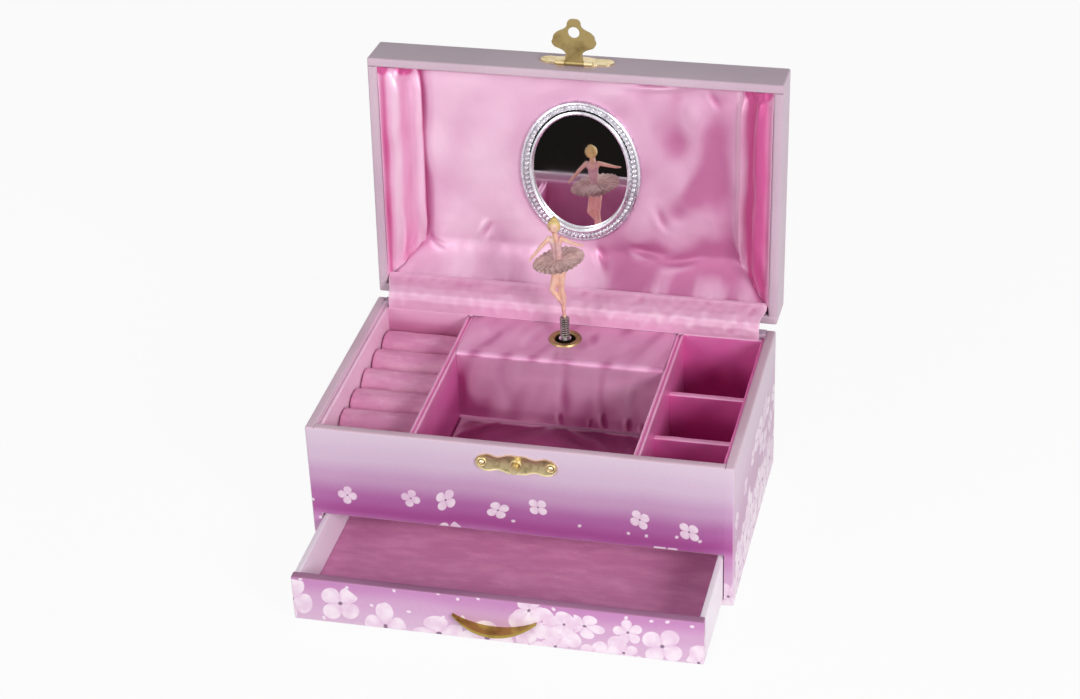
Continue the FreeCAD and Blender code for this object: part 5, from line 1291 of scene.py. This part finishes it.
for v in cap:
    strand = 0.03 * math.sin(14 * math.atan2(v.co.x, v.co.z + 0.2)) * ease(-0.1, 0.2, v.co.z)
    v.co = v.co * (1 + strand)
    v.co.y += 0.18
    if v.co.y < -0.39 and v.co.z < 0.6:  # the hairline sits back from the face
        v.co = v.co * 0.8
    v.co.z = v.co.z * 1.05 + 0.11
bun = bmesh.ops.create_uvsphere(bm, u_segments=28, v_segments=20, radius=0.56)["verts"]
for v in bun:
    v.co = v.co * (1 + 0.06 * math.sin(9 * math.atan2(v.co.x, v.co.y) + 9 * v.co.z))
    v.co.z *= 0.82
bmesh.ops.translate(bm, vec=(0.03, 0.55, 1.12), verts=bun)
hairFaces = len(bm.faces)
for side in (-1, 1):
    addBall(bm, 0.115, (1.25, 0.5, 0.75), (side * 0.34, -0.88, 0.11))  # eye
    addBall(bm, 0.18, (1.0, 0.3, 0.16), (side * 0.35, -0.85, 0.36))  # brow
inkFaces = len(bm.faces)
addBall(bm, 0.16, (1.2, 0.55, 0.55), (0, -0.85, -0.56))  # lips
bm.verts.ensure_lookup_table()
wholeHead = bm.verts[headFrom:]
bmesh.ops.scale(bm, vec=Vector((1, 1, 1)) * dancer["skull"], verts=wholeHead)
bmesh.ops.translate(bm, vec=dancer["head"], verts=wholeHead)
bm.faces.ensure_lookup_table()
dress, strap, shoe = dancer["dress"], dancer["strap"], dancer["shoe"]
for index, face in enumerate(bm.faces):
    spot = face.calc_center_median()
    side = abs(spot.x)
    if index < bodyFaces:
        top = dress["front"] - dress["dip"] * side / dress["dipHalf"] if spot.y < 0 else dress["back"]
        dressed = dress["hem"] < spot.z < top and side < dress["half"]
        strapped = top - 0.1 <= spot.z < strap["top"] and strap["inner"] < side < strap["outer"]
        shod = spot.z < shoe["standing"] or (spot.z < shoe["raised"] and spot.y < shoe["past"])
        face.material_index = 1 if dressed or strapped else 3 if shod else 0
    else:
        made = sum(index >= end for end in (noseFaces, hairFaces, inkFaces))
        face.material_index = (0, 2, 4, 5)[made]
place = Matrix.Translation(dancer["foot"]) @ Matrix.Rotation(dancer["lean"], 4, "Y")
finishPiece(bm, "dancerFigure", [skin, bodice, hair, slipper, faceInk, lipInk], "dancer",
            ("ballerina_figure",), place=place, sharp=70)

# tutu: flat rounds of finely pleated tulle, one over another
tutuNet = {
    "waist": 1.3, "hem": 11.4, "rise": 28.2, "tilt": math.radians(-11), "rings": 9, "around": 256,
    "thick": 0.1, "seam": 0.8,
    "rounds": [  # reach, lift, pleats, phase, depth
        (1.0, 0.3, 30, 0.0, 0.30), (0.95, 1.0, 26, 1.1, 0.34), (0.97, -0.5, 28, 2.3, 0.32)],
}
bm = bmesh.new()
for reach, lift, folds, phase, wave in tutuNet["rounds"]:
    ring = bmesh.ops.create_circle(bm, segments=tutuNet["around"], radius=tutuNet["waist"])
    edges = ringEdges(ring["verts"])
    for step in range(1, tutuNet["rings"] + 1):
        made = bmesh.ops.extrude_edge_only(bm, edges=edges)["geom"]
        verts = set(vertsOf(made))
        edges = [g for g in made if isinstance(g, bmesh.types.BMEdge) and all(v in verts for v in g.verts)]
        share = step / tutuNet["rings"]
        for v in verts:
            a = math.atan2(v.co.y, v.co.x)
            pleat = math.sin(folds * a + phase + 0.9 * ripple(math.cos(a) * 2, math.sin(a) * 2, phase))
            sway = 0.8 * ripple(math.cos(a) * 1.3, math.sin(a) * 1.3, phase + 5)
            far = lerp(tutuNet["waist"], tutuNet["hem"] * reach, share)
            far *= 1 + 0.03 * ripple(a * 5, phase) * share
            droop = -1.0 * share ** 2 + lift * share * 0.8 + sway * share ** 2
            v.co = Vector((far * math.cos(a), far * math.sin(a), droop + wave * share ** 0.6 * pleat))
bmesh.ops.remove_doubles(bm, verts=bm.verts, dist=1e-4)
lean = Matrix.Rotation(dancer["lean"], 4, "Y")
middle = dancer["foot"] + lean @ Vector((0.3, 0, tutuNet["rise"]))
place = Matrix.Translation(middle) @ Matrix.Rotation(tutuNet["tilt"], 4, "Y")
area = sum(f.calc_area() for f in bm.faces)
bmesh.ops.solidify(bm, geom=bm.faces[:], thickness=tutuNet["thick"])
tutuPiece = finishPiece(bm, "tutuTulle", [tulle], "dancer", ("tutu",), place=place, sharp=80)
print("dancer dressed")

# CAD nodes that keep their shape get their finish
nodeFinish = [
    (paper, "back_wall"), (pearlPaper, "deck drawer_bottom"), (satinTray, "platform_top platform_front"),
    (brass, "catch_stud case_nails lid_nails case_hinge_leaves lid_hinge_leaves hasp_pin"),
    (brass, "spring_barrel music_cylinder"), (bronze, "eyelet"), (pullBrass, "drawer_pull"),
    (steel, "hinge_pins movement_plate movement_screws movement_brackets comb governor_fan stop_rod"),
    (chrome, "winding_key spindle"),
]
for material, names in nodeFinish:
    for name in names.split():
        nodes[name].data.materials.clear()
        nodes[name].data.materials.append(material)


# studio: pale floor, soft lamps, camera at the photograph's angle
def flatStage(name, low, high, material):
    bm = bmesh.new()
    bmesh.ops.create_grid(bm, x_segments=1, y_segments=1, size=0.5)
    bmesh.ops.scale(bm, vec=(high[0] - low[0], high[1] - low[1], 1), verts=bm.verts)
    bmesh.ops.translate(bm, vec=((low[0] + high[0]) / 2, (low[1] + high[1]) / 2, low[2]), verts=bm.verts)
    made = objectOf(bm, name)
    made.data.materials.append(material)
    return made


studio = {
    "floor": ((-4, -4, -0.0002), (4, 4, -0.0002)), "floorGlow": 0.93,
    "card": ((-0.14, -0.36, 0.001), (0.0, -0.195, 0.001)),
    "skyFrom": (0.1, 0.9), "sky": (0.46, 0.16),  # softer from overhead than from round about
}
r = Finish("floorSweep")
floorPaper = r.finish({"Base Color": tone(248, 247, 248), "Roughness": 0.95, "Specular IOR Level": 0.0})
lift = r.add("Emission", {"Color": (1, 1, 1, 1), "Strength": 1.0}).outputs[0]
glow = r.times(r.direct(), studio["floorGlow"])
pale = r.add("MixShader", {0: glow, 1: r.shader.outputs[0], 2: lift}).outputs[0]
r.put(r.out.inputs[0], pale)
flatStage("floorSweep", *studio["floor"], floorPaper)
r = Finish("darkCard")
darkPaper = r.finish({"Base Color": tone(34, 31, 30), "Roughness": 0.9, "Specular IOR Level": 0.0})
card = flatStage("darkCard", *studio["card"], darkPaper)
card.visible_camera = card.visible_diffuse = card.visible_shadow = False  # seen only in reflections: a painted dark reflection in the mirror, metal and satin

scene.world = bpy.data.worlds.new("studioSky")
r = Recipe(scene.world, "World")
height = r.split(r.add("TexCoord").outputs["Generated"])[2]
level = r.between(height, *studio["skyFrom"], *studio["sky"], "LINEAR")
dim = r.add("Background", {"Color": (1.0, 0.985, 0.99, 1), "Strength": level}).outputs[0]
bright = r.add("Background", {"Color": (1, 1, 1, 1), "Strength": 1.0}).outputs[0]
r.put(r.out.inputs[0], r.add("MixShader", {0: r.direct(), 1: dim, 2: bright}).outputs[0])

lamps = [  # place, aim, size, watts
    ("keyLamp", (1.15, -1.10, 0.74), (0, 0, 0.09), 0.5, 17.0),
    ("fillLamp", (-0.85, -1.20, 0.66), (0, 0, 0.09), 0.7, 7.5),
]
for name, spot, aim, size, watts in lamps:
    lamp = bpy.data.lights.new(name, "AREA")
    lamp.size, lamp.energy = size, watts
    holder = bpy.data.objects.new(name, lamp)
    scene.collection.objects.link(holder)
    holder.location = spot
    holder.rotation_euler = (Vector(aim) - Vector(spot)).to_track_quat("-Z", "Y").to_euler()

cameraFit = {"around": 14.04, "above": 32.69, "roll": -2.13, "far": 1.088, "target": Vector((0, 0, 0.0405)),
             "lens": 84.3, "sensor": 36, "shift": (-0.0075, 0.077)}
around, above, roll = (math.radians(cameraFit[k]) for k in ("around", "above", "roll"))
back = Vector((math.sin(around) * math.cos(above), -math.cos(around) * math.cos(above), math.sin(above)))
right = Vector((0, 0, 1)).cross(back).normalized()
up = back.cross(right)
right, up = right * math.cos(roll) + up * math.sin(roll), up * math.cos(roll) - right * math.sin(roll)
lensData = bpy.data.cameras.new("camera")
lensData.sensor_width, lensData.lens = cameraFit["sensor"], cameraFit["lens"]
lensData.shift_x, lensData.shift_y = cameraFit["shift"]
lensData.clip_start = 0.01
camera = bpy.data.objects.new("camera", lensData)
scene.collection.objects.link(camera)
turn = Matrix((right, up, back)).transposed().to_4x4()
camera.matrix_world = Matrix.Translation(cameraFit["target"] + back * cameraFit["far"]) @ turn
scene.camera = camera
scene.view_settings.view_transform = "Standard"
print("studio set")

bpy.context.view_layer.update()
